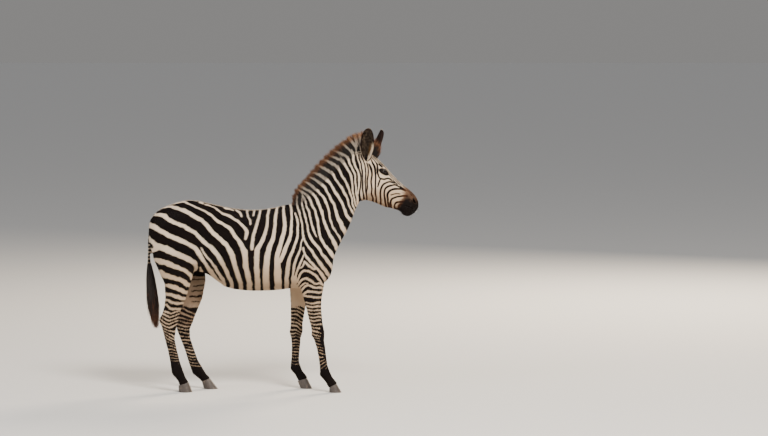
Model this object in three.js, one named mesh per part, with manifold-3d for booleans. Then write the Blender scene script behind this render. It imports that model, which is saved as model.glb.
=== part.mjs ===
// A plains zebra, almost full grown, standing on all four feet with its head up.
//
// Millimetres. +X points the way the zebra faces, +Y to its left and +Z up; the ground is z = 0.
// Every part of the body is a loft: a row of cross-sections, each spanned between two points of the side
// outline and given a half width, with a smooth curve through them. The lofts run into one another, and
// thin cuts then part the flesh into head, neck, trunk and legs.
import * as THREE from "three";
import { mergeVertices } from "three/addons/utils/BufferGeometryUtils.js";
import Module from "manifold-3d";

const wasm = await Module();
wasm.setup();

// ---------------------------------------------------------------- driving dimensions

const GAP = 0.3; // between neighbouring solids
const EYE_RADIUS = 19;
const EYE = [659, 69, 1437]; // centre of the left eye; the right one mirrors it
const EAR_LENGTH = 205;
const EAR_HALF_WIDTH = 46;
const EAR_THICKNESS = 4.5;
const MANE_HALF_ROOT = 21;
const MANE_HALF_TIP = 6;
const HOOF_HALF_SOLE = 39;
const HOOF_HALF_CROWN = 32;
const HOOF_FLAT = 3; // height of the upright rim round the sole

const EAR_SET_BACK = 20; // of the cup's middle behind the line from root to tip
const LEG_BULGE = 2.1; // exponent of a leg's cross-sections

const COLOUR = {
  white: 0xd9cdbb,
  brown: 0x3a2115,
  mane: 0x4b2d1c,
  black: 0x1a1412,
  horn: 0x6d665e,
  eye: 0x120c09,
};
const ROUGHNESS = { hair: 0.85, horn: 0.5, eye: 0.1 };

// Cross-sections. top and bottom are points [x, z] of the side outline, half is the half width and widest
// says how far down from the top the section is widest. bulge holds the exponents of the upper and the
// lower half of its superellipse (2 is an ellipse, more is squarer).

const TRUNK = [
  { at: "buttocks", top: [-872, 1072], bottom: [-872, 985], half: 66, widest: 0.5, bulge: [2, 2] },
  { at: "pin bones", top: [-860, 1128], bottom: [-846, 896], half: 130, widest: 0.48, bulge: [2.1, 2.6] },
  { at: "tail head", top: [-806, 1187], bottom: [-786, 832], half: 172, widest: 0.46, bulge: [2.1, 3.4] },
  { at: "croup", top: [-721, 1225], bottom: [-688, 802], half: 195, widest: 0.42, bulge: [2.1, 4.2] },
  { at: "hips", top: [-612, 1252], bottom: [-572, 790], half: 204, widest: 0.4, bulge: [2.15, 3.8] },
  { at: "loin", top: [-500, 1236], bottom: [-478, 757], half: 203, widest: 0.45, bulge: [2.1, 2.7] },
  { at: "flank", top: [-377, 1208], bottom: [-376, 679], half: 211, widest: 0.5, bulge: [2, 2.1] },
  { at: "last rib", top: [-247, 1190], bottom: [-250, 655], half: 220, widest: 0.53, bulge: [2, 2.15] },
  { at: "barrel", top: [-136, 1191], bottom: [-133, 652], half: 219, widest: 0.55, bulge: [1.95, 2.15] },
  { at: "girth", top: [-32, 1208], bottom: [-20, 658], half: 206, widest: 0.57, bulge: [1.85, 2.15] },
  { at: "withers", top: [45, 1226], bottom: [78, 672], half: 188, widest: 0.58, bulge: [1.75, 2.2] },
  { at: "shoulder", top: [117, 1212], bottom: [168, 682], half: 172, widest: 0.57, bulge: [1.85, 2.2] },
  { at: "breast", top: [188, 1150], bottom: [256, 695], half: 151, widest: 0.55, bulge: [2, 2.3] },
  { at: "shoulder point", top: [250, 1050], bottom: [300, 728], half: 126, widest: 0.52, bulge: [2.1, 2.3] },
  { at: "breastbone", top: [300, 960], bottom: [323, 772], half: 84, widest: 0.5, bulge: [2.1, 2.2] },
  { at: "breast front", top: [330, 905], bottom: [334, 824], half: 36, widest: 0.5, bulge: [2, 2] },
];

const NECK = [
  { at: "base", top: [91, 1212], bottom: [309, 742], half: 122, widest: 0.6, bulge: [1.8, 2] },
  { at: "root", top: [136, 1260], bottom: [334, 836], half: 104, widest: 0.6, bulge: [1.75, 2] },
  { at: "lower", top: [195, 1317], bottom: [357, 914], half: 88, widest: 0.6, bulge: [1.75, 2] },
  { at: "lower middle", top: [260, 1381], bottom: [395, 990], half: 76, widest: 0.58, bulge: [1.75, 2] },
  { at: "middle", top: [325, 1443], bottom: [433, 1060], half: 69, widest: 0.56, bulge: [1.75, 2] },
  { at: "upper middle", top: [383, 1496], bottom: [461, 1130], half: 65, widest: 0.54, bulge: [1.8, 2] },
  { at: "upper", top: [435, 1542], bottom: [480, 1187], half: 64, widest: 0.52, bulge: [1.85, 2] },
  { at: "throat", top: [480, 1577], bottom: [499, 1224], half: 64, widest: 0.52, bulge: [1.9, 2.1] },
  { at: "poll", top: [522, 1585], bottom: [524, 1256], half: 56, widest: 0.52, bulge: [2, 2.1] },
];

const HEAD = [
  { at: "nape", top: [500, 1574], bottom: [496, 1268], half: 46, widest: 0.5, bulge: [2.1, 2.1] },
  { at: "poll", top: [534, 1580], bottom: [511, 1240], half: 69, widest: 0.45, bulge: [2.3, 2.2] },
  { at: "ears", top: [580, 1553], bottom: [541, 1247], half: 80, widest: 0.4, bulge: [2.6, 2.2] },
  { at: "forehead", top: [632, 1511], bottom: [575, 1241], half: 82, widest: 0.35, bulge: [2.9, 2.1] },
  { at: "eyes", top: [678, 1463], bottom: [608, 1229], half: 80, widest: 0.33, bulge: [2.9, 2] },
  { at: "cheek", top: [715, 1419], bottom: [640, 1215], half: 69, widest: 0.4, bulge: [2.7, 2] },
  { at: "nose bridge", top: [750, 1385], bottom: [672, 1201], half: 58, widest: 0.46, bulge: [2.5, 2] },
  { at: "lower nose", top: [784, 1352], bottom: [704, 1196], half: 51, widest: 0.5, bulge: [2.3, 2.1] },
  { at: "mouth corner", top: [815, 1328], bottom: [738, 1186], half: 48, widest: 0.5, bulge: [2.2, 2.2] },
  { at: "nostrils", top: [843, 1305], bottom: [764, 1175], half: 51, widest: 0.46, bulge: [2.2, 2.3] },
  { at: "upper lip", top: [868, 1279], bottom: [784, 1152], half: 50, widest: 0.47, bulge: [2.2, 2.3] },
  { at: "lips", top: [886, 1247], bottom: [811, 1143], half: 42, widest: 0.5, bulge: [2.2, 2.2] },
  { at: "mouth", top: [890, 1216], bottom: [843, 1152], half: 27, widest: 0.5, bulge: [2, 2] },
  { at: "lip front", top: [888, 1198], bottom: [862, 1162], half: 14, widest: 0.5, bulge: [2, 2] },
];

// Soft swellings laid over the head and the trunk: centre of the left one, reach and height.
const SWELLINGS = [
  { on: "head", what: "brow", centre: [655, 84, 1450], reach: 32, height: 9 },
  { on: "head", what: "jowl", centre: [565, 74, 1320], reach: 66, height: 8 },
  { on: "head", what: "cheek crest", centre: [672, 66, 1360], reach: 34, height: 5 },
  { on: "head", what: "nostril", centre: [850, 44, 1235], reach: 24, height: 6 },
  { on: "trunk", what: "shoulder muscle", centre: [195, 158, 900], reach: 100, height: 14 },
  { on: "trunk", what: "hip bone", centre: [-560, 175, 1140], reach: 62, height: 9 },
];

// Legs. depth is the half depth from front to back, half the half width and out the distance of the leg's
// middle from the zebra's. Where each of these sections stands, [x, z], is in LEGS, in the same order.

const FORELEG_GIRTHS = [
  { at: "shoulder", depth: 96, half: 66, out: 92 },
  { at: "upper arm", depth: 92, half: 64, out: 104 },
  { at: "elbow", depth: 86, half: 54, out: 110 },
  { at: "upper forearm", depth: 64, half: 47, out: 111 },
  { at: "forearm", depth: 51, half: 41, out: 111 },
  { at: "lower forearm", depth: 44, half: 35, out: 110 },
  { at: "above knee", depth: 39, half: 33, out: 110 },
  { at: "knee", depth: 39, half: 34, out: 110 },
  { at: "below knee", depth: 32, half: 27, out: 110 },
  { at: "upper cannon", depth: 27, half: 22, out: 110 },
  { at: "cannon", depth: 25, half: 20, out: 110 },
  { at: "above fetlock", depth: 26, half: 21, out: 110 },
  { at: "fetlock", depth: 34, half: 27, out: 110 },
  { at: "pastern", depth: 27, half: 24, out: 110 },
  { at: "coronet", depth: 31, half: 29, out: 110 },
  { at: "inside hoof", depth: 31, half: 29, out: 110 },
];

const HINDLEG_GIRTHS = [
  { at: "hip", depth: 132, half: 80, out: 106 },
  { at: "thigh", depth: 142, half: 83, out: 105 },
  { at: "stifle", depth: 114, half: 72, out: 105 },
  { at: "upper gaskin", depth: 88, half: 60, out: 105 },
  { at: "gaskin", depth: 68, half: 49, out: 105 },
  { at: "lower gaskin", depth: 57, half: 39, out: 103 },
  { at: "above hock", depth: 56, half: 33, out: 100 },
  { at: "hock", depth: 60, half: 33, out: 98 },
  { at: "below hock", depth: 42, half: 30, out: 96 },
  { at: "upper cannon", depth: 31, half: 25, out: 94 },
  { at: "cannon", depth: 29, half: 21, out: 93 },
  { at: "above fetlock", depth: 31, half: 22, out: 92 },
  { at: "fetlock", depth: 37, half: 27, out: 92 },
  { at: "pastern", depth: 27, half: 24, out: 92 },
  { at: "coronet", depth: 31, half: 29, out: 92 },
  { at: "inside hoof", depth: 31, half: 29, out: 92 },
];

// toe and heel are the ends of the sole, and crown is the top of the hoof in front and behind.
const LEGS = {
  foreleg_right: {
    girths: FORELEG_GIRTHS,
    side: -1,
    hoof: { toe: 388, heel: 304, crown: [[356, 55], [304, 32]] },
    stations: [
      [174, 890], [180, 790], [196, 700], [199, 622], [206, 557], [217, 485], [226, 440], [234, 387],
      [243, 341], [253, 290], [264, 218], [270, 172], [278, 124], [307, 80], [326, 52], [337, 22],
    ],
  },
  foreleg_left: {
    girths: FORELEG_GIRTHS,
    side: 1,
    hoof: { toe: 192, heel: 112, crown: [[160, 66], [92, 48]] },
    stations: [
      [160, 880], [140, 780], [120, 690], [106, 612], [99, 548], [94, 480], [89, 430], [87, 378],
      [85, 331], [84, 280], [80, 215], [78, 180], [80, 142], [102, 104], [126, 68], [140, 32],
    ],
  },
  hindleg_right: {
    girths: HINDLEG_GIRTHS,
    side: -1,
    hoof: { toe: -585, heel: -678, crown: [[-608, 62], [-680, 40]] },
    stations: [
      [-714, 1040], [-704, 892], [-681, 777], [-682, 705], [-696, 612], [-714, 550], [-727, 505], [-737, 462],
      [-735, 402], [-732, 346], [-717, 280], [-700, 200], [-687, 140], [-657, 86], [-640, 52], [-630, 22],
    ],
  },
  hindleg_left: {
    girths: HINDLEG_GIRTHS,
    side: 1,
    hoof: { toe: -427, heel: -523, crown: [[-478, 68], [-536, 46]] },
    stations: [
      [-712, 1035], [-678, 890], [-612, 772], [-590, 700], [-594, 606], [-610, 545], [-628, 502], [-649, 455],
      [-654, 392], [-641, 332], [-617, 264], [-589, 178], [-562, 120], [-525, 78], [-504, 54], [-494, 26],
    ],
  },
};

// Thin cuts through the flesh: the line [x, z] that each runs along, seen from the side, and the stretch of
// y that it reaches over.
const WHOLE = [-300, 300];
const RIGHT = [-300, -1];
const LEFT = [1, 300];
const CUTS = [
  { between: "neck and trunk", line: [[100, 1235], [352, 850]], y: WHOLE },
  { between: "head and neck", line: [[487, 1600], [504, 1200]], y: WHOLE },
  { between: "muzzle and head", line: [[822, 1345], [760, 1160]], y: WHOLE },
  { between: "right foreleg and trunk", line: [[85, 642], [310, 664]], y: RIGHT },
  { between: "right forearm and cannon", line: [[170, 392], [300, 380]], y: RIGHT },
  { between: "left foreleg and trunk", line: [[5, 636], [235, 660]], y: LEFT },
  { between: "left forearm and cannon", line: [[25, 378], [150, 378]], y: LEFT },
  { between: "right thigh and gaskin", line: [[-830, 812], [-535, 760]], y: RIGHT },
  { between: "right gaskin and cannon", line: [[-830, 432], [-665, 412]], y: RIGHT },
  { between: "left thigh and gaskin", line: [[-800, 800], [-462, 730]], y: LEFT },
  { between: "left gaskin and cannon", line: [[-730, 426], [-570, 402]], y: LEFT },
];

// A point near the middle of every piece that the cuts leave.
const FLESH = {
  head: [640, 0, 1400],
  muzzle: [830, 0, 1230],
  neck: [340, 0, 1220],
  trunk: [-280, 0, 940],
  foreleg_right_upper: [205, -110, 520],
  foreleg_right_lower: [270, -110, 210],
  foreleg_left_upper: [105, 110, 510],
  foreleg_left_lower: [90, 110, 210],
  hindleg_right_upper: [-700, -104, 620],
  hindleg_right_lower: [-700, -98, 220],
  hindleg_left_upper: [-610, 104, 610],
  hindleg_left_lower: [-590, 98, 220],
};

// The crest that the mane stands on and its outer edge, from the withers to the forelock.
const MANE = [
  { at: "withers", root: [66, 1195], edge: [60, 1234] },
  { at: "first lock", root: [100, 1200], edge: [72, 1292] },
  { at: "root", root: [140, 1240], edge: [98, 1345] },
  { at: "lower", root: [198, 1297], edge: [150, 1402] },
  { at: "lower middle", root: [263, 1360], edge: [212, 1476] },
  { at: "middle", root: [328, 1422], edge: [276, 1544] },
  { at: "upper middle", root: [386, 1474], edge: [340, 1604] },
  { at: "upper", root: [438, 1520], edge: [404, 1656] },
  { at: "poll", root: [484, 1553], edge: [460, 1692] },
  { at: "crown", root: [532, 1560], edge: [524, 1706] },
  { at: "between the ears", root: [562, 1546], edge: [592, 1668] },
  { at: "forelock", root: [584, 1530], edge: [652, 1634] },
  { at: "last lock", root: [600, 1512], edge: [640, 1572] },
];

const TAIL = [
  { at: "root", x: -838, z: 1098, depth: 25, half: 27, out: 0 },
  { at: "bend", x: -857, z: 1045, depth: 24, half: 25, out: 0 },
  { at: "upper", x: -869, z: 980, depth: 20, half: 21, out: 0 },
  { at: "dock", x: -872, z: 905, depth: 17, half: 18, out: 0 },
  { at: "end of dock", x: -870, z: 830, depth: 17, half: 19, out: 0 },
  { at: "shoulder", x: -865, z: 755, depth: 23, half: 26, out: 0 },
  { at: "middle", x: -854, z: 680, depth: 35, half: 34, out: 0 },
  { at: "fullest", x: -850, z: 600, depth: 42, half: 38, out: 0 },
  { at: "lower", x: -847, z: 530, depth: 37, half: 34, out: 0 },
  { at: "taper", x: -835, z: 462, depth: 24, half: 23, out: 0 },
  { at: "tip", x: -825, z: 398, depth: 7, half: 8, out: 0 },
];
const TAIL_CUT = 822; // height at which the tuft of long hair begins

// Ears: where the root stands on the head, where the tip is and the way the cup opens, in degrees from +X.
const EARS = {
  ear_right: { root: [548, -56, 1520], tip: [562, -100, 1721], opens: -97 },
  ear_left: { root: [572, 56, 1518], tip: [658, 88, 1694], opens: 22 },
};

// ---------------------------------------------------------------- curves and lofts

const mix = (a, b, t) => a + (b - a) * t;
const degrees = THREE.MathUtils.degToRad;

// A row of numbers at t, counted in numbers, on a Catmull-Rom curve through all of them.
function onCurve(values, t) {
  const last = values.length - 1;
  const i = Math.min(Math.floor(t), last - 1);
  const f = t - i;
  const [a, b] = [values[i], values[i + 1]];
  const before = i > 0 ? values[i - 1] : 2 * a - b;
  const after = i + 2 <= last ? values[i + 2] : 2 * b - a;
  const bend = 2 * before - 5 * a + 4 * b - after;
  const twist = 3 * a - before - 3 * b + after;
  return 0.5 * (2 * a + (b - before) * f + bend * f * f + twist * f * f * f);
}

// A row of keys made denser, every number of every key on its own smooth curve.
function dense(keys, perKey) {
  const names = Object.keys(keys[0]).filter((name) => name !== "at");
  const value = (name, t) =>
    Array.isArray(keys[0][name])
      ? keys[0][name].map((_, axis) => onCurve(keys.map((key) => key[name][axis]), t))
      : onCurve(keys.map((key) => key[name]), t);
  const count = (keys.length - 1) * perKey + 1;
  return Array.from({ length: count }, (_, k) =>
    Object.fromEntries(names.map((name) => [name, value(name, k / perKey)])));
}

// Points round one cross-section, from its top by the left side.
function ring({ top, bottom, half, widest, bulge, y = 0 }, sides, grow = 0) {
  const length = Math.hypot(top[0] - bottom[0], top[1] - bottom[1]);
  const up = [(top[0] - bottom[0]) / length, (top[1] - bottom[1]) / length];
  const centre = [mix(top[0], bottom[0], widest), mix(top[1], bottom[1], widest)];
  return Array.from({ length: sides }, (_, k) => {
    const angle = (2 * Math.PI * k) / sides;
    const [c, s] = [Math.cos(angle), Math.sin(angle)];
    const [reach, power] = c > 0 ? [widest * length, bulge[0]] : [(1 - widest) * length, bulge[1]];
    const rise = Math.sign(c) * Math.abs(c) ** (2 / power) * (reach + grow);
    const out = Math.sign(s) * Math.abs(s) ** (2 / power) * (half + grow);
    return new THREE.Vector3(centre[0] + up[0] * rise, y + out, centre[1] + up[1] * rise);
  });
}

function middleOf(points) {
  const sum = points.reduce((total, point) => total.add(point), new THREE.Vector3());
  return sum.divideScalar(points.length);
}

// A closed solid over rings of equally many points, its two ends closed by fans.
function skinOf(rings) {
  const sides = rings[0].length;
  const points = rings.flat();
  const faces = [];
  for (let r = 0; r + 1 < rings.length; r++)
    for (let k = 0; k < sides; k++) {
      const [a, b] = [r * sides + k, r * sides + ((k + 1) % sides)];
      faces.push([a, b, b + sides], [a, b + sides, a + sides]);
    }
  for (const first of [true, false]) {
    const r = first ? 0 : rings.length - 1;
    const hub = points.push(middleOf(rings[r])) - 1;
    for (let k = 0; k < sides; k++) {
      const [a, b] = [r * sides + k, r * sides + ((k + 1) % sides)];
      faces.push(first ? [hub, b, a] : [hub, a, b]);
    }
  }
  return fromGeometry(new THREE.BufferGeometry().setFromPoints(points).setIndex(faces.flat()));
}

// A three.js geometry as a solid for joining and cutting, with its faces outwards.
function fromGeometry(geometry) {
  geometry.deleteAttribute("normal");
  geometry.deleteAttribute("uv");
  const merged = mergeVertices(geometry, 1e-3);
  const vertProperties = merged.attributes.position.array;
  const made = (indices) =>
    new wasm.Manifold(new wasm.Mesh({ numProp: 3, vertProperties, triVerts: new Uint32Array(indices) }));
  const solid = made(merged.index.array);
  return solid.volume() > 0 ? solid : made([...merged.index.array].reverse());
}

// Pushes the points of a loft outwards by the swellings on that part, on both sides of the body.
function swell(rings, part) {
  const swellings = SWELLINGS.filter(({ on }) => on === part);
  for (const points of rings) {
    const middle = middleOf(points);
    for (const point of points)
      for (const { centre: [x, y, z], reach, height } of swellings) {
        const away = Math.hypot(point.x - x, Math.abs(point.y) - y, point.z - z) / reach;
        point.addScaledVector(point.clone().sub(middle).normalize(), height * Math.exp(-away * away));
      }
  }
  return rings;
}

function loft(keys, { sides, perKey, part, grow }) {
  return skinOf(swell(dense(keys, perKey).map((section) => ring(section, sides, grow)), part));
}

// The cross-sections of a leg or the tail, square to the line of its stations.
function limb(stations, { sides, perKey, side, grow }) {
  const row = dense(stations, perKey);
  const rings = row.map(({ x, z, depth, half, out }, k) => {
    const [from, to] = [row[Math.max(k - 1, 0)], row[Math.min(k + 1, row.length - 1)]];
    const length = Math.hypot(to.x - from.x, to.z - from.z);
    const across = [(from.z - to.z) / length, (to.x - from.x) / length];
    const top = [x + across[0] * depth, z + across[1] * depth];
    const bottom = [x - across[0] * depth, z - across[1] * depth];
    const bulge = [LEG_BULGE, LEG_BULGE];
    return ring({ top, bottom, half, widest: 0.5, bulge, y: side * out }, sides, grow);
  });
  return skinOf(rings);
}

// ---------------------------------------------------------------- flesh and its cuts

// A thin flat box along a line of the side view, over a stretch of y.
function slab({ line: [from, to], y: [near, far] }) {
  const OVER = 40;
  const length = Math.hypot(to[0] - from[0], to[1] - from[1]) + OVER;
  const box = new THREE.BoxGeometry(length, far - near, GAP);
  box.rotateY(-Math.atan2(to[1] - from[1], to[0] - from[0]));
  box.translate((from[0] + to[0]) / 2, (near + far) / 2, (from[1] + to[1]) / 2);
  return fromGeometry(box);
}

// What of a solid lies above or below a line of the side view, kept clear of it by half a gap.
function sideOf(solid, [from, to], above) {
  const length = Math.hypot(to[0] - from[0], to[1] - from[1]);
  const turn = (above ? 1 : -1) / length;
  const normal = [(from[1] - to[1]) * turn, 0, (to[0] - from[0]) * turn];
  return solid.trimByPlane(normal, normal[0] * from[0] + normal[2] * from[1] + GAP / 2);
}

const eyeBall = (side, radius) => fromGeometry(
  new THREE.SphereGeometry(radius, 14, 10).translate(EYE[0], side * EYE[1], EYE[2]));

function legFlesh({ girths, stations, side, hoof }, grow) {
  const keys = stations.map(([x, z], k) => ({ ...girths[k], x, z }));
  const whole = limb(keys, { sides: 14, perKey: 1, side, grow });
  const [front, back] = hoof.crown;
  return sideOf(whole, [back, front], true);
}

function flesh(grow) {
  const lofts = [
    loft(TRUNK, { sides: 24, perKey: 2, part: "trunk", grow }),
    loft(NECK, { sides: 20, perKey: 1, part: "neck", grow }),
    loft(HEAD, { sides: 22, perKey: 2, part: "head", grow }),
    ...Object.values(LEGS).map((pose) => legFlesh(pose, grow)),
  ];
  return lofts.reduce((sum, solid) => sum.add(solid));
}

function boxMiddle(solid) {
  const { min, max } = solid.boundingBox();
  return min.map((low, axis) => (low + max[axis]) / 2);
}

// The body of a solid in several pieces whose box is centred nearest to a point.
function pieceAt(bodies, point) {
  const away = (body) => Math.hypot(...boxMiddle(body).map((value, axis) => value - point[axis]));
  return bodies.reduce((best, body) => (away(body) < away(best) ? body : best));
}

// ---------------------------------------------------------------- horn, ears, mane and tail

// A hoof widens from its slanting crown to a flat sole.
function hoof({ side, girths, hoof: { toe, heel, crown: [front, back] } }) {
  const halfway = (from, to) => [mix(from, to[0], 0.5), to[1] / 2];
  const middle = mix(HOOF_HALF_SOLE, HOOF_HALF_CROWN, 0.5);
  const sections = [
    { top: [toe - 1, 0], bottom: [heel + 1, 0], half: HOOF_HALF_SOLE - 1 },
    { top: [toe, HOOF_FLAT], bottom: [heel, HOOF_FLAT], half: HOOF_HALF_SOLE },
    { top: halfway(toe, front), bottom: halfway(heel, back), half: middle },
    { top: front, bottom: back, half: HOOF_HALF_CROWN },
  ];
  const shape = { widest: 0.46, bulge: [2.3, 2.6], y: side * girths.at(-1).out };
  const block = skinOf(sections.map((section) => ring({ ...section, ...shape }, 16)));
  return sideOf(block, [back, front], false);
}

// Half width of the ear at a share of its length: narrow at the root, full past the middle, a rounded tip.
function earWidth(share) {
  const root = 0.44;
  const swelling = Math.sin(Math.PI * Math.min(0.5, share * 0.95));
  return EAR_HALF_WIDTH * mix(root, 1, swelling) * Math.sqrt(1 - share ** 5);
}

// An ear is a leaf rolled into a cup: nearly a tube at its root, opening towards its tip.
function earSheet(inset) {
  const [along, around] = [9, 8];
  return Array.from({ length: along + 1 }, (_, i) => {
    const share = (i / along) * 0.99;
    const roll = degrees(mix(150, 62, Math.sqrt(Math.min(1, share * 1.6))));
    const radius = earWidth(share) / Math.sin(Math.min(roll, Math.PI / 2));
    const inner = radius - Math.min(inset, radius * 0.4);
    return Array.from({ length: around + 1 }, (_, j) => {
      const angle = roll * ((2 * j) / around - 1);
      const back = radius - EAR_SET_BACK - inner * Math.cos(angle);
      return new THREE.Vector3(inner * Math.sin(angle), back, share * EAR_LENGTH);
    });
  });
}

// A closed solid between two sheets of points laid one inside the other.
function shell(outer, inner) {
  const [rows, columns] = [outer.length, outer[0].length];
  const size = rows * columns;
  const at = (i, j, sheet) => sheet * size + i * columns + j;
  const faces = [];
  const quad = (a, b, c, d) => faces.push([a, b, c], [a, c, d]);
  for (let i = 0; i + 1 < rows; i++)
    for (let j = 0; j + 1 < columns; j++) {
      quad(at(i, j, 0), at(i, j + 1, 0), at(i + 1, j + 1, 0), at(i + 1, j, 0));
      quad(at(i, j, 1), at(i + 1, j, 1), at(i + 1, j + 1, 1), at(i, j + 1, 1));
    }
  const [lastRow, lastColumn] = [rows - 1, columns - 1];
  for (let i = 0; i < lastRow; i++) {
    quad(at(i, 0, 0), at(i + 1, 0, 0), at(i + 1, 0, 1), at(i, 0, 1));
    quad(at(i, lastColumn, 0), at(i, lastColumn, 1), at(i + 1, lastColumn, 1), at(i + 1, lastColumn, 0));
  }
  for (let j = 0; j < lastColumn; j++) {
    quad(at(0, j, 0), at(0, j, 1), at(0, j + 1, 1), at(0, j + 1, 0));
    quad(at(lastRow, j, 0), at(lastRow, j + 1, 0), at(lastRow, j + 1, 1), at(lastRow, j, 1));
  }
  const points = [...outer, ...inner].flat();
  return fromGeometry(new THREE.BufferGeometry().setFromPoints(points).setIndex(faces.flat()));
}

// Stands an ear on the head, its length from root to tip and its cup opening the way it should.
function ear({ root, tip, opens }) {
  const up = new THREE.Vector3(...tip).sub(new THREE.Vector3(...root)).normalize();
  const facing = new THREE.Vector3(Math.cos(degrees(opens)), Math.sin(degrees(opens)), 0);
  const open = facing.addScaledVector(up, -facing.dot(up)).normalize();
  const across = open.clone().cross(up);
  const pose = new THREE.Matrix4().makeBasis(across, open, up).setPosition(...root);
  return shell(earSheet(0), earSheet(EAR_THICKNESS)).transform(pose.toArray());
}

function mane() {
  const levels = [0, 0.4, 0.75, 1];
  const half = (level) => mix(MANE_HALF_ROOT, MANE_HALF_TIP, level ** 1.4);
  const rings = MANE.map(({ root, edge }) => {
    const [x, z] = [0, 1].map((axis) => (level) => mix(root[axis], edge[axis], level));
    const point = (level, side) => new THREE.Vector3(x(level), side * half(level), z(level));
    const left = levels.map((level) => point(level, 1));
    const right = levels.toReversed().map((level) => point(level, -1));
    return [...left, ...right];
  });
  return skinOf(rings);
}

// ---------------------------------------------------------------- the zebra

const sockets = eyeBall(1, EYE_RADIUS + GAP).add(eyeBall(-1, EYE_RADIUS + GAP));
const cuts = CUTS.map(slab).reduce((sum, cut) => sum.add(cut));
const pieces = flesh(0).subtract(sockets).subtract(cuts).decompose();
const clearance = flesh(GAP);
const tail = limb(TAIL, { sides: 12, perKey: 1, side: 1, grow: 0 }).subtract(clearance);
const tailLine = [[-1000, TAIL_CUT], [0, TAIL_CUT]];

const hairy = (name, solid, colour) => [name, solid, colour, ROUGHNESS.hair];
const parts = [
  ...Object.entries(FLESH).map(([name, point]) => hairy(name, pieceAt(pieces, point), COLOUR.white)),
  ["eye_right", eyeBall(-1, EYE_RADIUS), COLOUR.eye, ROUGHNESS.eye],
  ["eye_left", eyeBall(1, EYE_RADIUS), COLOUR.eye, ROUGHNESS.eye],
  ...Object.entries(EARS).map(([name, pose]) => hairy(name, ear(pose).subtract(clearance), COLOUR.brown)),
  ...Object.entries(LEGS).map(([name, pose]) =>
    [name.replace("leg", "hoof"), hoof(pose), COLOUR.horn, ROUGHNESS.horn]),
  hairy("mane", mane().subtract(clearance), COLOUR.mane),
  hairy("tail_dock", sideOf(tail, tailLine, true), COLOUR.white),
  hairy("tail_tuft", sideOf(tail, tailLine, false), COLOUR.black),
];

// The zebra stands with the middle of its box over the origin.
function boxCentre(solids) {
  const box = new THREE.Box3();
  for (const { min, max } of solids.map((solid) => solid.boundingBox()))
    box.union(new THREE.Box3(new THREE.Vector3(...min), new THREE.Vector3(...max)));
  return box.getCenter(new THREE.Vector3());
}

function meshOf(name, solid, color, roughness) {
  const { vertProperties, triVerts } = solid.getMesh();
  const geometry = new THREE.BufferGeometry();
  geometry.setAttribute("position", new THREE.BufferAttribute(vertProperties, 3));
  geometry.setIndex(new THREE.BufferAttribute(triVerts, 1));
  const mesh = new THREE.Mesh(geometry, new THREE.MeshStandardMaterial({ color, roughness, metalness: 0 }));
  mesh.name = name;
  return mesh;
}

const zebra = new THREE.Group();
zebra.name = "zebra";
zebra.add(...parts.map((part) => meshOf(...part)));
const centre = boxCentre(parts.map(([, solid]) => solid));
zebra.position.set(-centre.x, -centre.y, 0);

export default zebra;
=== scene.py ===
# %% [markdown]
# # A plains zebra, life size
#
# The zebra stands on four level hooves with its head up, and is seen from its right side. The frame holds
# the plain solids of its body: head, neck, trunk, legs, tail, ears, mane, eyes and hooves. This lesson
# grows one skin over the flesh, draws the stripes on it, and then lays on the coat, the mane and the
# tail. Everything is in metres: +X is forwards, +Y is the zebra's left and +Z is up.

# %% The frame
import math
import bmesh
import bpy
import numpy as np
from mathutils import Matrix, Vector
from mathutils.bvhtree import BVHTree


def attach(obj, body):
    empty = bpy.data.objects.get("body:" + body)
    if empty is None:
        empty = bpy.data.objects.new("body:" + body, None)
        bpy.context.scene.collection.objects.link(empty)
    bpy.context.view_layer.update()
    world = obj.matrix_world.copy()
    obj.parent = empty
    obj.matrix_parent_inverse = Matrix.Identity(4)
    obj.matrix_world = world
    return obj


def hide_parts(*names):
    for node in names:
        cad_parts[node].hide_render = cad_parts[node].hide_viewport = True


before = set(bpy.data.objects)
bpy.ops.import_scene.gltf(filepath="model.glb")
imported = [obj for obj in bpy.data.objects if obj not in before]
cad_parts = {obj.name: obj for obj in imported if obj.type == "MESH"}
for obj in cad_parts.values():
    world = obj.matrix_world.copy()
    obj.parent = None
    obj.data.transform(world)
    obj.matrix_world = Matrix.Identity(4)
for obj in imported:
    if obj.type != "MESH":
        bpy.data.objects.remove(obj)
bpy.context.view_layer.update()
SIDES = {"right": -1, "left": 1}
SHIFT = 0.001  # the solids stand this far forward of the drawing that their sizes come from
print("nodes:", len(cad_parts))

# %% [markdown]
# The camera comes first. It stands far off with a long lens, a metre higher than the ears, so the body
# shows almost without perspective. The floor is a plain pale sheet, and three large soft lamps stand
# round it: one high in front as the key, one opposite as the fill, and one behind for the outline.

# %% Camera and lamps
CAMERA_AT = Vector((0.664, -23.5, 2.8))
CAMERA_TO = Vector((0.664, 0.0, 1.131))
LENS = 169.2  # millimetres, on a 36 mm sensor


def own_material(name, colour, roughness, specular=0.5):
    material = bpy.data.materials.new(name)
    material.use_nodes = True
    surface = material.node_tree.nodes["Principled BSDF"]
    surface.inputs["Base Color"].default_value = (*colour, 1)
    surface.inputs["Roughness"].default_value = roughness
    surface.inputs["Specular IOR Level"].default_value = specular
    return material


def aim(item, target):
    item.rotation_euler = (Vector(target) - item.location).to_track_quat("-Z", "Y").to_euler()


def lamp(name, place, target, size, power, colour):
    light = bpy.data.lights.new(name, "AREA")
    light.shape = "DISK"
    light.size = size
    light.energy = power
    light.color = colour
    item = bpy.data.objects.new(name, light)
    bpy.context.scene.collection.objects.link(item)
    item.location = place
    aim(item, target)


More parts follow.
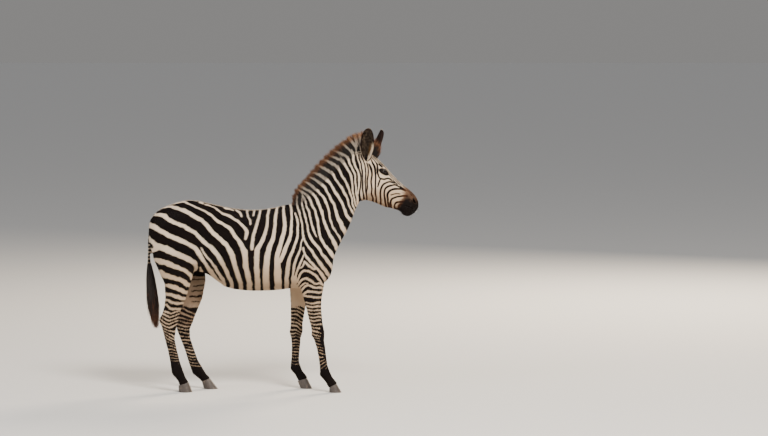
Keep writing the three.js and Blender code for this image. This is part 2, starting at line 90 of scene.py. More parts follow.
LAMPS = [  # name, place, target, size, power and colour
    ("key", (3.6, -8.4, 8.6), (0, 0, 0.7), 4.2, 2500, (1.0, 0.945, 0.87)),
    ("fill", (-9.0, -6.0, 4.6), (0, 0, 0.8), 6.0, 560, (0.93, 0.96, 1.0)),
    ("rim", (4.2, 7.4, 5.4), (0, 0, 1.0), 4.0, 1500, (1.0, 0.86, 0.68)),
]
camera = bpy.data.objects.new("camera", bpy.data.cameras.new("camera"))
bpy.context.scene.collection.objects.link(camera)
camera.location = CAMERA_AT
aim(camera, CAMERA_TO)
camera.data.lens = LENS
camera.data.clip_end = 100
bpy.context.scene.camera = camera
for row in LAMPS:
    lamp(*row)
print("camera", tuple(round(v, 2) for v in camera.location), "lens", LENS, "lamps", len(LAMPS))

# %% Walls and floor
WALL_LOW, WALL_HIGH, FLOOR_COLOUR = (0.50, 0.49, 0.48), (0.80, 0.82, 0.86), (0.62, 0.60, 0.57)
WALL_STRENGTH, WALL_TOP = 0.50, 0.3  # WALL_TOP: how far up, of 1, the upper colour begins
FLOOR_SIZE = 600


def fed(tree, socket, value):
    """Gives a socket its value: another socket, a number, a vector or a colour."""
    if isinstance(value, bpy.types.NodeSocket):
        tree.links.new(value, socket)
    elif isinstance(value, tuple) and socket.type == "RGBA":
        socket.default_value = (*value, 1)
    else:
        socket.default_value = value


def eased(tree, value, start, end, low=0.0, high=1.0):
    node = tree.nodes.new("ShaderNodeMapRange")
    node.interpolation_type = "SMOOTHSTEP"
    named = {"Value": value, "From Min": start, "From Max": end, "To Min": low, "To Max": high}
    for name, own in named.items():
        fed(tree, node.inputs[name], own)
    return node.outputs["Result"]


def colour_mix(tree, share, first, second):
    node = tree.nodes.new("ShaderNodeMix")
    node.data_type = "RGBA"
    for socket, value in ((node.inputs[0], share), (node.inputs[6], first), (node.inputs[7], second)):
        fed(tree, socket, value)
    return node.outputs[2]


world = bpy.data.worlds.new("studio")
bpy.context.scene.world = world
world.use_nodes = True
studio = world.node_tree
background = studio.nodes["Background"].inputs
background["Strength"].default_value = WALL_STRENGTH
rise = studio.nodes.new("ShaderNodeSeparateXYZ")
fed(studio, rise.inputs["Vector"], studio.nodes.new("ShaderNodeTexCoord").outputs["Generated"])
walls = eased(studio, rise.outputs["Z"], 0.0, WALL_TOP)
fed(studio, background["Color"], colour_mix(studio, walls, WALL_LOW, WALL_HIGH))
bpy.ops.mesh.primitive_plane_add(size=FLOOR_SIZE)
floor = bpy.context.object
floor.name = "floor"
floor.data.materials.append(own_material("floor", FLOOR_COLOUR, 0.9, 0.2))
print("floor:", FLOOR_SIZE, "metres wide")

# %% [markdown]
# ## The skin
#
# The flesh comes as thirteen solids with thin cuts between them. On the animal there is one skin and no
# cut, so copies of the solids are joined and remeshed twice. The voxel remesher works on a grid and keeps
# only the outside, which closes the cuts. A fine grid gives the true form, which is then smoothed: much
# on the trunk, where the facets are wide, and little on head and legs. A coarse grid gives the faces that
# are kept, made smaller on the head and again round eyes, nostrils and mouth.

# %% Points, edges and faces
FLESH = ["head", "muzzle", "neck", "trunk", "tail_dock"]
LEGS = [f"{leg}leg_{side}" for leg in ("fore", "hind") for side in SIDES]
FLESH += [f"{leg}_{part}" for leg in LEGS for part in ("upper", "lower")]


def rows_of(items, name, width, kind=np.int32):
    """One value of each item, such as its place or its corners, as rows of an array."""
    flat = np.empty(width * len(items), kind)
    items.foreach_get(name, flat)
    return flat.reshape(-1, width)


def points_of(mesh):
    return rows_of(mesh.vertices, "co", 3, np.float32).astype(float)


def normals_of(mesh):
    return rows_of(mesh.vertex_normals, "vector", 3, np.float32).astype(float)


def move_points(mesh, points):
    mesh.vertices.foreach_set("co", points.astype(np.float32).ravel())
    mesh.update()


def new_object(name, mesh):
    item = bpy.data.objects.new(name, mesh)
    bpy.context.scene.collection.objects.link(item)
    return item


def mesh_from(name, points, faces):
    mesh = bpy.data.meshes.new(name)
    mesh.from_pydata(np.asarray(points).tolist(), [], np.asarray(faces).tolist())
    mesh.update()
    return mesh


def plain_mesh(item):
    """The object's mesh with its modifiers worked in."""
    evaluated = item.evaluated_get(bpy.context.evaluated_depsgraph_get())
    return bpy.data.meshes.new_from_object(evaluated)


def triangles_of_node(name):
    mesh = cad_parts[name].data
    return points_of(mesh), rows_of(mesh.loops, "vertex_index", 1).reshape(-1, 3)


print("flesh:", len(FLESH), "solids,", sum(len(triangles_of_node(name)[1]) for name in FLESH), "triangles")

# %% Joining the flesh
FINE, COARSE = 0.004, 0.008  # the two grids of the remesher, in metres


def remeshed(mesh, size):
    item = new_object("remesh", mesh)
    modifier = item.modifiers.new("remesh", "REMESH")
    modifier.mode = "VOXEL"
    modifier.voxel_size = size
    result = plain_mesh(item)
    bpy.data.objects.remove(item)
    return result


def merged(pieces):
    points, faces, total = [], [], 0
    for own_points, own_faces, *_ in pieces:
        points.append(own_points)
        faces.append(own_faces + total)
        total += len(own_points)
    return np.vstack(points), np.vstack(faces)


solids = [triangles_of_node(name) for name in FLESH + ["eye_left", "eye_right"]]
fine = remeshed(mesh_from("flesh", *merged(solids)), FINE)
print("fine flesh:", len(fine.vertices), "points")


# %% Where the form is softened
def ramp(values, start, end):
    """0 before start, 1 after end and a soft step between them."""
    share = np.clip((np.asarray(values) - start) / (end - start), 0, 1)
    return share * share * (3 - 2 * share)


def off_tail(points):
    """0 on the tail and 1 away from it."""
    x, y, _ = points.T
    return np.maximum(ramp(x, -0.85, -0.80), ramp(np.abs(y), 0.032, 0.07))


def trunkness(points):
    """1 on trunk, shoulders and thighs, 0 on the head and down the legs."""
    x, _, z = points.T
    above_legs = ramp(z, 0.60, 0.74)
    behind_head = 1 - ramp(x + 0.35 * (z - 1.2), 0.36, 0.50)
    return above_legs * behind_head * off_tail(points)


def headness(points):
    """0 behind the throat and 1 on the face."""
    x, _, z = points.T
    return ramp(x + 0.15 * (z - 1.4), 0.47, 0.56)


def seam_softness(points):
    """1 where legs leave the trunk, so that their edges are drawn into folds of skin."""
    x, _, z = points.T
    thigh = np.exp(-((x + 0.66) / 0.17) ** 2 - ((z - 0.86) / 0.09) ** 2)
    elbow = np.exp(-((x - 0.17) / 0.16) ** 2 - ((z - 0.72) / 0.09) ** 2)
    return np.clip(thigh + elbow, 0, 1) * off_tail(points)


form = points_of(fine)
print("share of the form that is trunk:", round(float((trunkness(form) > 0.5).mean()), 2))

# %% Smoothing the facets away
ALL_ROUNDS, TRUNK_ROUNDS, SEAM_ROUNDS = 5, 50, 60
DEPTH_BODY, DEPTH_LEG, DEPTH_FACE = 0.0045, 0.0006, 0.0014  # how deep the coat lies, in metres


def coat_depth(points):
    legs = 1 - ramp(points[:, 2], 0.35, 0.65)
    deep = DEPTH_BODY + (DEPTH_LEG - DEPTH_BODY) * legs
    return deep + (DEPTH_FACE - deep) * headness(points)


def neighbours_mean(points, edges, counts):
    total = np.empty_like(points)
    for axis in range(points.shape[1]):
        total[:, axis] = np.bincount(edges[:, 0], points[edges[:, 1], axis], len(points))
        total[:, axis] += np.bincount(edges[:, 1], points[edges[:, 0], axis], len(points))
    return total / counts[:, None]


def smoothed(points, edges, amount, rounds):
    """Each round draws every point towards the middle of its neighbours by its own amount."""
    counts = np.bincount(edges.ravel(), minlength=len(points)).astype(float)
    for _ in range(rounds):
        points = points + (neighbours_mean(points, edges, counts) - points) * amount[:, None]
    return points


links = rows_of(fine.edges, "vertices", 2)
form = smoothed(form, links, np.full(len(form), 0.5), ALL_ROUNDS)
form = smoothed(form, links, 0.5 * trunkness(form), TRUNK_ROUNDS)
form = smoothed(form, links, 0.5 * seam_softness(form), SEAM_ROUNDS)
move_points(fine, form)
form = form - normals_of(fine) * coat_depth(form)[:, None]
move_points(fine, form)
print("smoothed", len(form), "points")


# %% Places on the face
EYE = np.array([0.660, 0.069, 1.437])  # the left one, in metres, as the others are
NOSTRIL = np.array([0.857, 0.041, 1.243])
MOUTH = np.array([[0.893, 0.0, 1.183], [0.872, 0.030, 1.186], [0.842, 0.046, 1.197], [0.806, 0.047, 1.214]])


def mirrored(points):
    """The points with all of them on the left side."""
    return np.abs(points) * [0, 1, 0] + points * [1, 0, 1]


def away(points, centre):
    return np.linalg.norm(mirrored(points) - centre, axis=1)


def off_line(points, line):
    """Distance from each point to a line of several points."""
    best = np.full(len(points), 1.0)
    for start, end in zip(line[:-1], line[1:]):
        along = end - start
        share = np.clip((points - start) @ along / (along @ along), 0, 1)
        best = np.minimum(best, np.linalg.norm(points - start - share[:, None] * along, axis=1))
    return best


def is_face(points):
    x, _, z = points.T
    return x + 0.15 * (z - 1.4) > 0.445


def is_feature(points):
    near = (away(points, EYE) < 0.033) | (away(points, NOSTRIL) < 0.026)
    return near | (off_line(mirrored(points), MOUTH) < 0.011)


print("points of the fine form on the face:", int(is_face(form).sum()))


# %% The faces that are kept
def refine(mesh, chosen):
    """Splits every face that has a chosen point into four."""
    grid = bmesh.new()
    grid.from_mesh(mesh)
    grid.verts.ensure_lookup_table()
    picked = set(np.flatnonzero(chosen(points_of(mesh))).tolist())
    faces = [face for face in grid.faces if any(corner.index in picked for corner in face.verts)]
    edges = list({edge for face in faces for edge in face.edges})
    bmesh.ops.subdivide_edges(grid, edges=edges, cuts=1, use_grid_fill=True)
    bmesh.ops.triangulate(grid, faces=[face for face in grid.faces if len(face.verts) > 4])
    grid.to_mesh(mesh)
    grid.free()
    mesh.update()


skin_mesh = remeshed(fine, COARSE)
refine(skin_mesh, is_face)
fine_surface = BVHTree.FromPolygons(form.tolist(), [tuple(face.vertices) for face in fine.polygons])


def settled(mesh, rounds):
    """Evens out the faces and puts every point back on the fine form."""
    edges = rows_of(mesh.edges, "vertices", 2)
    points = points_of(mesh)
    for _ in range(rounds):
        points = smoothed(points, edges, np.full(len(points), 0.5), 2)
        points = np.array([fine_surface.find_nearest(point)[0] for point in points.tolist()])
    move_points(mesh, points)


settled(skin_mesh, 2)
refine(skin_mesh, is_feature)
settled(skin_mesh, 1)
skin_count = sum(len(face.vertices) - 2 for face in skin_mesh.polygons)
print("skin:", len(skin_mesh.vertices), "points,", skin_count, "triangles")

# %% [markdown]
# ## Muscle, bone and face
#
# Under the skin lie muscles, bones and tendons, which the plain solids leave out. One could carve each by
# hand, but a short list does as well: every entry is a soft hump or hollow with a place, a reach along
# X, Y and Z, and a height. They are given in millimetres for the left side and laid on both sides.

# %% Humps and hollows
FORMS = [
    # what, place, reach, height
    ("temple", (640, 80, 1472), (22, 25, 17), -3.5),
    ("brow ridge", (668, 80, 1462), (26, 25, 10), 3.5),
    ("front of the eye", (697, 64, 1421), (17, 22, 16), -3.5),
    ("cheek crest, upper", (712, 62, 1388), (22, 18, 10), 3.0),
    ("cheek crest, lower", (744, 54, 1352), (24, 18, 10), 2.5),
    ("side of the nose", (768, 48, 1338), (34, 20, 15), -3.5),
    ("cheek muscle", (590, 84, 1330), (52, 40, 52), 3.5),
    ("behind the jaw", (513, 74, 1345), (16, 40, 70), -3.0),
    ("under the cheek crest", (708, 54, 1330), (36, 20, 20), -3.0),
    ("lip swelling", (868, 34, 1208), (22, 20, 16), 3.0),
    ("chin", (826, 14, 1152), (20, 20, 12), 4.0),
    ("behind the chin", (786, 10, 1172), (18, 24, 10), -3.5),
    ("gullet groove, upper", (462, 56, 1205), (22, 22, 60), -3.5),
    ("gullet groove, lower", (400, 64, 1060), (26, 24, 70), -4.0),
    ("neck muscle", (330, 80, 1225), (90, 40, 55), 3.0),
    ("front of the shoulder", (246, 140, 1010), (28, 60, 110), -5.0),
    ("shoulder blade", (112, 170, 1075), (34, 60, 110), 5.0),
    ("behind the blade", (52, 180, 1060), (30, 60, 120), -3.0),
    ("point of the shoulder", (262, 130, 905), (38, 50, 38), 8.0),
    ("upper arm", (120, 185, 850), (62, 60, 60), 7.0),
    ("behind the elbow", (5, 180, 770), (38, 60, 70), -7.0),
    ("elbow", (98, 165, 708), (26, 40, 30), 6.0),
    ("breast groove", (325, 0, 860), (40, 16, 90), -6.0),
    ("ribs", (-180, 215, 900), (170, 60, 150), 3.0),
    ("flank hollow", (-430, 205, 1075), (58, 50, 58), -9.0),
    ("hip bone", (-542, 190, 1138), (34, 40, 26), 6.0),
    ("haunch", (-700, 195, 1010), (105, 60, 90), 5.0),
    ("behind the haunch", (-808, 150, 940), (24, 60, 110), -5.0),
    ("flank fold", (-478, 175, 822), (34, 60, 60), 9.0),
    ("between the buttocks", (-868, 0, 950), (40, 22, 130), -9.0),
]


def hump(points, place, reach):
    """1 at the place, falling softly to 0 beyond its reach, alike on both sides."""
    offset = (mirrored(points) - np.array(place) / 1000) / (np.array(reach) / 1000)
    return np.exp(-(offset**2).sum(axis=1))


shape = points_of(skin_mesh)
rise = sum(height / 1000 * hump(shape, place, reach) for _, place, reach, height in FORMS)
move_points(skin_mesh, shape + normals_of(skin_mesh) * rise[:, None])
print("humps and hollows:", len(FORMS))

# %% [markdown]
# The legs get their own list, because each leg stands differently: a place on a leg is given by its height
# above the ground and which way it faces. Knees and hocks have flat bony sides, and behind the shank runs
# a tendon with a groove before it.

# %% Legs
FEET = {  # where the middle of each leg runs: heights and the x of the middle there, in millimetres
    "fore_right": ([22, 80, 172, 290, 387, 485, 600], [337, 307, 270, 253, 234, 217, 200], -110),
    "fore_left": ([32, 104, 180, 280, 378, 480, 600], [140, 102, 78, 84, 87, 94, 105], 110),
    "hind_right": ([22, 86, 200, 346, 462, 550, 650], [-630, -657, -700, -732, -737, -714, -690], -97),
    "hind_left": ([26, 78, 178, 332, 455, 545, 650], [-494, -525, -589, -641, -649, -610, -592], 97),
}
LEG_FORMS = [
    # leg, what, height above the ground, forwards of the middle, outwards, reach, rise
    ("fore", "knee", 392, 30, 0, (16, 26, 30), 3.0),
    ("fore", "below the knee", 335, 26, 0, (16, 24, 22), -2.5),
    ("fore", "pisiform", 372, -38, 0, (12, 16, 20), 6.0),
    ("fore", "tendon groove", 260, -6, 22, (6, 10, 75), -2.6),
    ("fore", "tendon groove", 260, -6, -22, (6, 10, 75), -2.6),
    ("fore", "ergot", 118, -36, 0, (12, 12, 12), 3.0),
    ("hind", "point of the hock", 478, -52, 0, (16, 14, 24), 8.0),
    ("hind", "before the heel cord", 540, -22, 30, (16, 14, 52), -5.5),
    ("hind", "before the heel cord", 540, -22, -30, (16, 14, 52), -5.5),
    ("hind", "side of the hock", 430, 6, 32, (26, 12, 26), 2.5),
    ("hind", "tendon groove", 280, -6, 22, (6, 10, 80), -2.6),
    ("hind", "tendon groove", 280, -6, -22, (6, 10, 80), -2.6),
    ("hind", "ergot", 112, -38, 0, (12, 12, 12), 3.0),
]


def leg_middle(leg, height):
    heights, places, out = FEET[leg]
    return np.interp(height, heights, places) / 1000, out / 1000


def leg_rise(points):
    total = np.zeros(len(points))
    for kind, _, height, forwards, outwards, reach, rise in LEG_FORMS:
        for side, sign in SIDES.items():
            x, y = leg_middle(f"{kind}_{side}", height)
            place = np.array([x + forwards / 1000, y + sign * outwards / 1000, height / 1000])
            offset = (points - place) / (np.array(reach) / 1000)
            total += rise / 1000 * np.exp(-(offset**2).sum(axis=1))
    return total


shape = points_of(skin_mesh)
move_points(skin_mesh, shape + normals_of(skin_mesh) * leg_rise(shape)[:, None])
print("leg forms:", len(LEG_FORMS) * 2)

# %% [markdown]
# The eye lies in a socket between two lids. The lids are skin stretched over the ball, so the skin round
# the eye is lifted to just above the ball, and inside the almond between the lids it is sunk out of sight
# behind it. The nostril is a slanting hollow with a raised rim, and the mouth is a long groove.

# %% Lids
GAZE = np.array([0.27, 0.95, 0.12])  # the way the left eye looks
SLIT = np.array([0.92, 0.0, -0.39])  # from its rear corner to its front one
EYE_RADIUS, LID = 0.019, 0.0023  # the ball, and how thick the lids are
ALMOND_HALF, ALMOND_UP, ALMOND_DOWN = 0.0168, 0.0098, 0.0072
CREASE_DEPTH, CREASE_ABOVE, CREASE_HALF = 0.0016, 0.0058, 0.0018  # the fold over the upper lid


def unit(vector):
    return vector / np.linalg.norm(vector)


def eye_axes():
    out = unit(GAZE)
    along = unit(SLIT - out * (SLIT @ out))
    return along, np.cross(out, along) * np.sign(np.cross(out, along)[2]), out


def almond(share):
    """Half height of the opening above and below, at a share of its half length."""
    lens = np.sqrt(np.clip(1 - share**2, 0, 1)) ** 1.25
    return ALMOND_UP * lens * (1 - 0.12 * share), ALMOND_DOWN * lens * (1 + 0.12 * share)


def lidded(points):
    """The points of the left half of the face, with the skin round the eye made into lids."""
    along, up, out = eye_axes()
    local = points - EYE
    p, q, d = local @ along, local @ up, local @ out
    flat = np.hypot(p, q)
    over, under = almond(np.clip(p / ALMOND_HALF, -1, 1))
    inside = np.minimum(ramp(over - q, 0.0, 0.0012), ramp(q + under, 0.0, 0.0012))
    inside *= np.abs(p) < ALMOND_HALF
    ball = EYE_RADIUS + LID
    lid_depth = np.sqrt(np.clip(ball**2 - flat**2, 0, None))
    crease = CREASE_DEPTH * np.exp(-((q - over - CREASE_ABOVE) / CREASE_HALF) ** 2)
    crease = crease * (np.abs(p) < ALMOND_HALF * 1.15)
    lifted = np.where(flat < ball, np.maximum(d, lid_depth), d) - crease
    sunk = np.sqrt(np.clip((EYE_RADIUS - 0.004) ** 2 - flat**2, 0, None))
    depth = lifted + (sunk - lifted) * inside
    near = (d > 0) & (flat < 0.03)
    return points + out * (np.where(near, depth, d) - d)[:, None]


shape = points_of(skin_mesh)
sign = np.where(shape[:, 1:2] < 0, -1.0, 1.0)
flip = np.hstack([np.ones_like(sign), sign, np.ones_like(sign)])  # turns one side into the left one
half, outward = lidded(shape * flip), normals_of(skin_mesh) * flip
print("points moved round the eyes:", int((half != shape * flip).any(axis=1).sum()))

# %% Nostrils and mouth
NOSTRIL_OUT = unit(np.array([0.50, 0.84, 0.20]))
NOSTRIL_LONG = unit(np.array([0.42, -0.05, -0.90]))
NOSTRIL_REACH, NOSTRIL_DEPTH, NOSTRIL_RIM = (0.0150, 0.0062), 0.015, 0.0032


def with_nostril(points):
    long = unit(NOSTRIL_LONG - NOSTRIL_OUT * (NOSTRIL_LONG @ NOSTRIL_OUT))
    wide = np.cross(NOSTRIL_OUT, long)
    local = points - NOSTRIL
    p, q = local @ long / NOSTRIL_REACH[0], local @ wide / NOSTRIL_REACH[1]
    q = q + 0.35 * p**2
    reach = np.sqrt(p**2 + q**2)
    facing = ramp(local @ NOSTRIL_OUT, -0.03, -0.012)
    hole = -NOSTRIL_DEPTH * (1 - ramp(reach, 0.55, 1.25))
    rim = NOSTRIL_RIM * np.exp(-((reach - 1.7) / 0.45) ** 2)
    return points + NOSTRIL_OUT * ((hole + rim) * facing)[:, None]


MOUTH_DEPTH, MOUTH_HALF = 0.0055, 0.0032


def with_mouth(points, normals):
    off = off_line(points, MOUTH)
    return points - normals * (MOUTH_DEPTH * np.exp(-((off / MOUTH_HALF) ** 2)))[:, None]


half = with_nostril(with_mouth(half, outward))
move_points(skin_mesh, half * flip)
skin_mesh.shade_smooth()
print("face carved; skin has", len(skin_mesh.vertices), "points")

# %% [markdown]
# ## The stripes
#
# No two zebras are striped alike, and stripes don't follow a formula, so they are drawn. The sheet is a
# side view of the whole animal, with x to the right and y down, on which one unit is 6.6 mm. A stroke is
# a row of dots "x,y,half width" joined by a smooth curve, and a semicolon ends it. On body and neck the
# ground is black and the strokes are white. On the face it is the other way round. The stripes could be
# painted into an image, but then they would blur close up. Here every point of the skin gets its distance
# to the nearest edge of a stripe instead, so the edge stays sharp at any size, and every tuft of hair can
# ask for it too.

# %% The drawing sheet
SHEET = 152.5  # units to the metre
SHEET_ZERO = (282.75, 390.5)  # where x = 0 and z = 0 lie on the sheet
SEEN_FROM = (0.664, 23.5, 2.8)  # the place that the sheet is drawn from: x, distance, height


def on_sheet(points):
    """Where points of the body fall on the sheet. Both sides fall on it alike."""
    x, y, z = points.T
    nearer = SEEN_FROM[1] / (SEEN_FROM[1] - np.abs(y))
    x = SEEN_FROM[0] + (x - SEEN_FROM[0]) * nearer
    z = SEEN_FROM[2] + (z - SEEN_FROM[2]) * nearer
    return np.stack([SHEET_ZERO[0] + x * SHEET, SHEET_ZERO[1] - z * SHEET], axis=1)


print("sheet: one unit is", round(1000 / SHEET, 2), "mm")

# %% White strokes of the haunch
WHITE_HAUNCH = """
150,211,.4 160,207,.6 172,204.3,.6 180,202.4,.9 185,202,.9 190,204,.9 200,208.7,.9 209,213.5,1.1 217,220,1.3
  224,224.5,1.5 231,229,1.6 233,232.5,1.6 236,236.5,1.7 239,240,1.8 241,243.5,2.2 243,247,2.5 245,252,2.8
  245.7,258,2.7 246,264,2.6 247,270,2.5 248.5,277,2.5 250,284,2.6 250.5,300,2.7;
200.5,202.5,.9 203.5,203.5,.9;
206,204.7,.5 210,205.7,.6 215,207.5,.7 218,210,.8 222,213,.9 226,214.7,1 230,215.5,1.1 234,218.5,1.1
  239,221.5,1.1 242,225,1.2 245,228,1.4 247,231,1.6 247,235,1.6 246,239,1.2;
224.5,207,.7 226.5,208.8,.7 230,209.5,.7 234,210.5,.6;
237,210.5,.8 240,212.5,.9 242.5,216,.9;
146,216,.5 156,212.5,.5 163,208.5,.6 170,207,.9 175,207.5,1.5 180,209,1.7 185,210.5,2 190,213.5,2 195,216.5,2
  200,219,2 204,222,2 208,226,2 211,230,2.2 217,236,2 221,239,2 225,243,2.1 229,248,2.2 232,254,2.4
  234,260,2.3 236,267,2.1 238,274,2 240,280,2 241.5,286,2 242,300,2;
140,218,1 153.5,215,1 158,214.7,1.2 162,215,1.6 166,216.3,2 169,219,2 172,221,1.9 176,223,1.7 181,225,1.8
  186,227,1.9 190,229.5,1.9 195,232,1.8 199,236,1.8 203,240,1.8 207,243.5,2 211,247,2.2 215,251,2.2
  219,256,2.1 222,261.5,2 225,267,1.9 228,273,1.9 230,278,1.9 232,283,1.7 233.5,300,1.5;
138,225,2.6 149,225,2.6 152,225.5,2.5 156,227.5,2.3 160,230,2.2 165,232.7,2.2 170,235.3,2.2 175,237.7,2.1
  180,239.8,2 185,242,2 190,244.5,2 194,247,2.2 197,250,2.3 200,254,2 203,259,1.8 206,263.5,1.5 209,268,1.7
  212,272,2 215,276.5,2.3 218,281,2.5 221,285,2.5 226,300,2.5;
201.5,248,.6 204,252,.8 207,256,1 211,261,1 215,266,1.2 218,271,1.3 221,276,1.5 224,281,1.6 228,300,1.6;
138,234,1.5 147.3,236,1.5 151,239.3,1.6 155,243,2 158,246,3 163,247.7,3.1 170,250.4,3.1 175,253,2.8
  180,255,2.7 185,257,2.7 190,259.5,2.5 194,262,2.1 196.5,265,1.8 196.5,269,1.5 195,273,1.3 193.5,277,1
  192.5,279,.8;
138,246,.8 150,247.5,.7 152,249.5,1.6 155,250,2 158,247.5,3;
138,259,1.5 155,259.5,1.5 160,261,2.5 165,262.5,2.3 170,264.2,2.3 175,266.3,2.3 180,268,2 185,270,1.8
  189,273,1.8 191.5,276,1.7 192,278.5,1.2;
148,272,2 161,272,2 165,275,2.5 170,276.5,2.5 175,278,2.2 180,279.5,2 184,281.5,2.1 187,284,2.2 190,285,2
  200,286,1.5;
152,284,1.2 165,285,1.2 170,285.7,1.9 175,287,2 180,289,2 184,291.5,2 187,292.5,1.8 196,293,1.5;
155,292,1.3 168,294,1.3 172,295,1.5 176,296.5,1.6 180,297.5,1.7 184,298.5,1.5 195,299,1.3;
155,299,1.2 168,300,1.2 171,302,1.3 175,303,1.3 180,303.3,1.3 183,303,1.2 195,303,1.2;
155,304,.8 165,304.5,.8 169,307,1 173,309,1 178,309,1 195,309,1;
200.8,267.5,.8 202.3,271.5,1.7;
"""
print("haunch:", WHITE_HAUNCH.count(";"), "strokes")

# %% White strokes of the barrel
WHITE_BARREL = """
248,196,.9 248,209,.9 247.7,213,.9 249,217,.9 251,220,.9 250.8,224.5,.9;
255,196,.7 255,209,.7 254.7,212,.7 254,215.5,.7;
261,196,.9 261,209,.9 260,215,1 258,222,1.1 256,229,1.3 254,236,1.4 252.7,243,1.5 252.7,249,1.3;
269.5,196,.9 269.5,208,.9 268.5,215,1.1 268,222,1.3 266.5,230,1.5 264,238,1.8 261,244,1.9 258,249,2.3
  257.5,252,2.5 257,262,2.5 257.3,272,2.5 258,282,2.6 258.5,300,2.6;
277.5,196,.9 277.5,207,.9 276.5,214,1.2 275.5,222,1.5 275,230,1.6 273.5,238,1.9 270.5,246,2.3 268.5,252,2.5
  267,262,2.8 266.5,272,3 266.5,282,3.2 268,300,3;
284,196,.9 284,204,.9 284,212,1.2 285,222,1.6 284.5,232,1.8 282,240,2 280,248,2.2 277.5,256,2.3 278,264,3
  278,274,3.7 278.5,285,3.5 279,300,3.5;
291,196,.9 291,204,.9 292,212,1 292,222,1.1 291.5,232,1.3 289.5,240,1.6 286,248,1.8 283,256,1.9 281,261,1.6;
295.5,213,.5 297,218,.8 298,224,.9 298.3,230,1 298,235,1.1 296.8,240,1.2 295.3,245,1.2 293.5,250,1.3
  291.5,254,1.4 290,258,1.5 289,262,1.7 288.2,268,1.9 287.5,274,2 287,280,2 287.3,300,2;
"""
print("barrel:", WHITE_BARREL.count(";"), "strokes")

# %% White strokes of the shoulder
WHITE_SHOULDER = """
297.3,196,.7 297.3,203,.7 298,208,.7 300,214,.8 301.5,220,.8 302.5,225,.8 303.2,230,.8 303.5,235,.9 304,239,1
  306.5,243,1 308.5,246.5,1 311.5,251,1.1 315,256,1.2 318.5,261,1.3 322,266,1.6 325.5,270.5,1.6 328,274,1.4
  330,280,1.2 331,292,1.2;
303.2,238.5,.7 301.6,242,.6 301,246,.7 300.6,249,.8 298.5,254,1 296.5,259,1.2 295,264,1.2 294,269,1.1
  293.3,274,1 292.8,279,1.3 292.5,300,1.3;
303.6,248,.9 304.6,253,.7 307,257,1 310,260.5,1.1 313,264,1.1 316,267.5,1.2 319,271,1.3 322,274.5,1.5
  324.5,278.5,1.6 326,284,1.3;
304,255,.6 302.5,259,.8 301,262,.9 299.8,265,1 298.5,268,1 297.3,271,1 296.2,275,1 295.5,279,1.6
  295.5,300,1.8;
304.6,261,.7 303.8,264.5,.8 302.3,267,.7 300.3,267.8,.7;
304.6,261,.8 306.5,263,1 309,265.5,1 312,267.8,1 315,268.8,1 317,268,.8;
297.5,282,.9 299,277.5,1 300.5,274,1 303,271.5,1.1 306,270.8,1.2 309,271.3,1.2 312,273,1.1 315,275,1.1
  317.5,277,1.1 320,280,1 322,284,.9;
297.5,287,.9 299.5,283,1 302,280,1 305,278.5,1 308,278.7,1 311,280.5,1 314,283,1 317,283.8,1 320,283.5,.9
  323,285,.9;
298.5,290,.8 300,287.5,.8 302.5,285,.8 305.5,283,.7 308.3,283.3,.5;
299,295,1 301,292,1 303,289,1 305.5,286.5,1 308,285.5,1 311,286,1 314,287.5,1 317,288,1 320,287.5,1
  324,288.5,1;
300,297,1 304,294,1 307,291.8,1 311,291.5,1 315,292.3,1 319,292.5,1 325,291.5,1;
297,296,.9 303,296,.9 308,296,.9 312,296.8,.9 317,297.5,.9 325,297,.9;
"""
print("shoulder:", WHITE_SHOULDER.count(";"), "strokes")

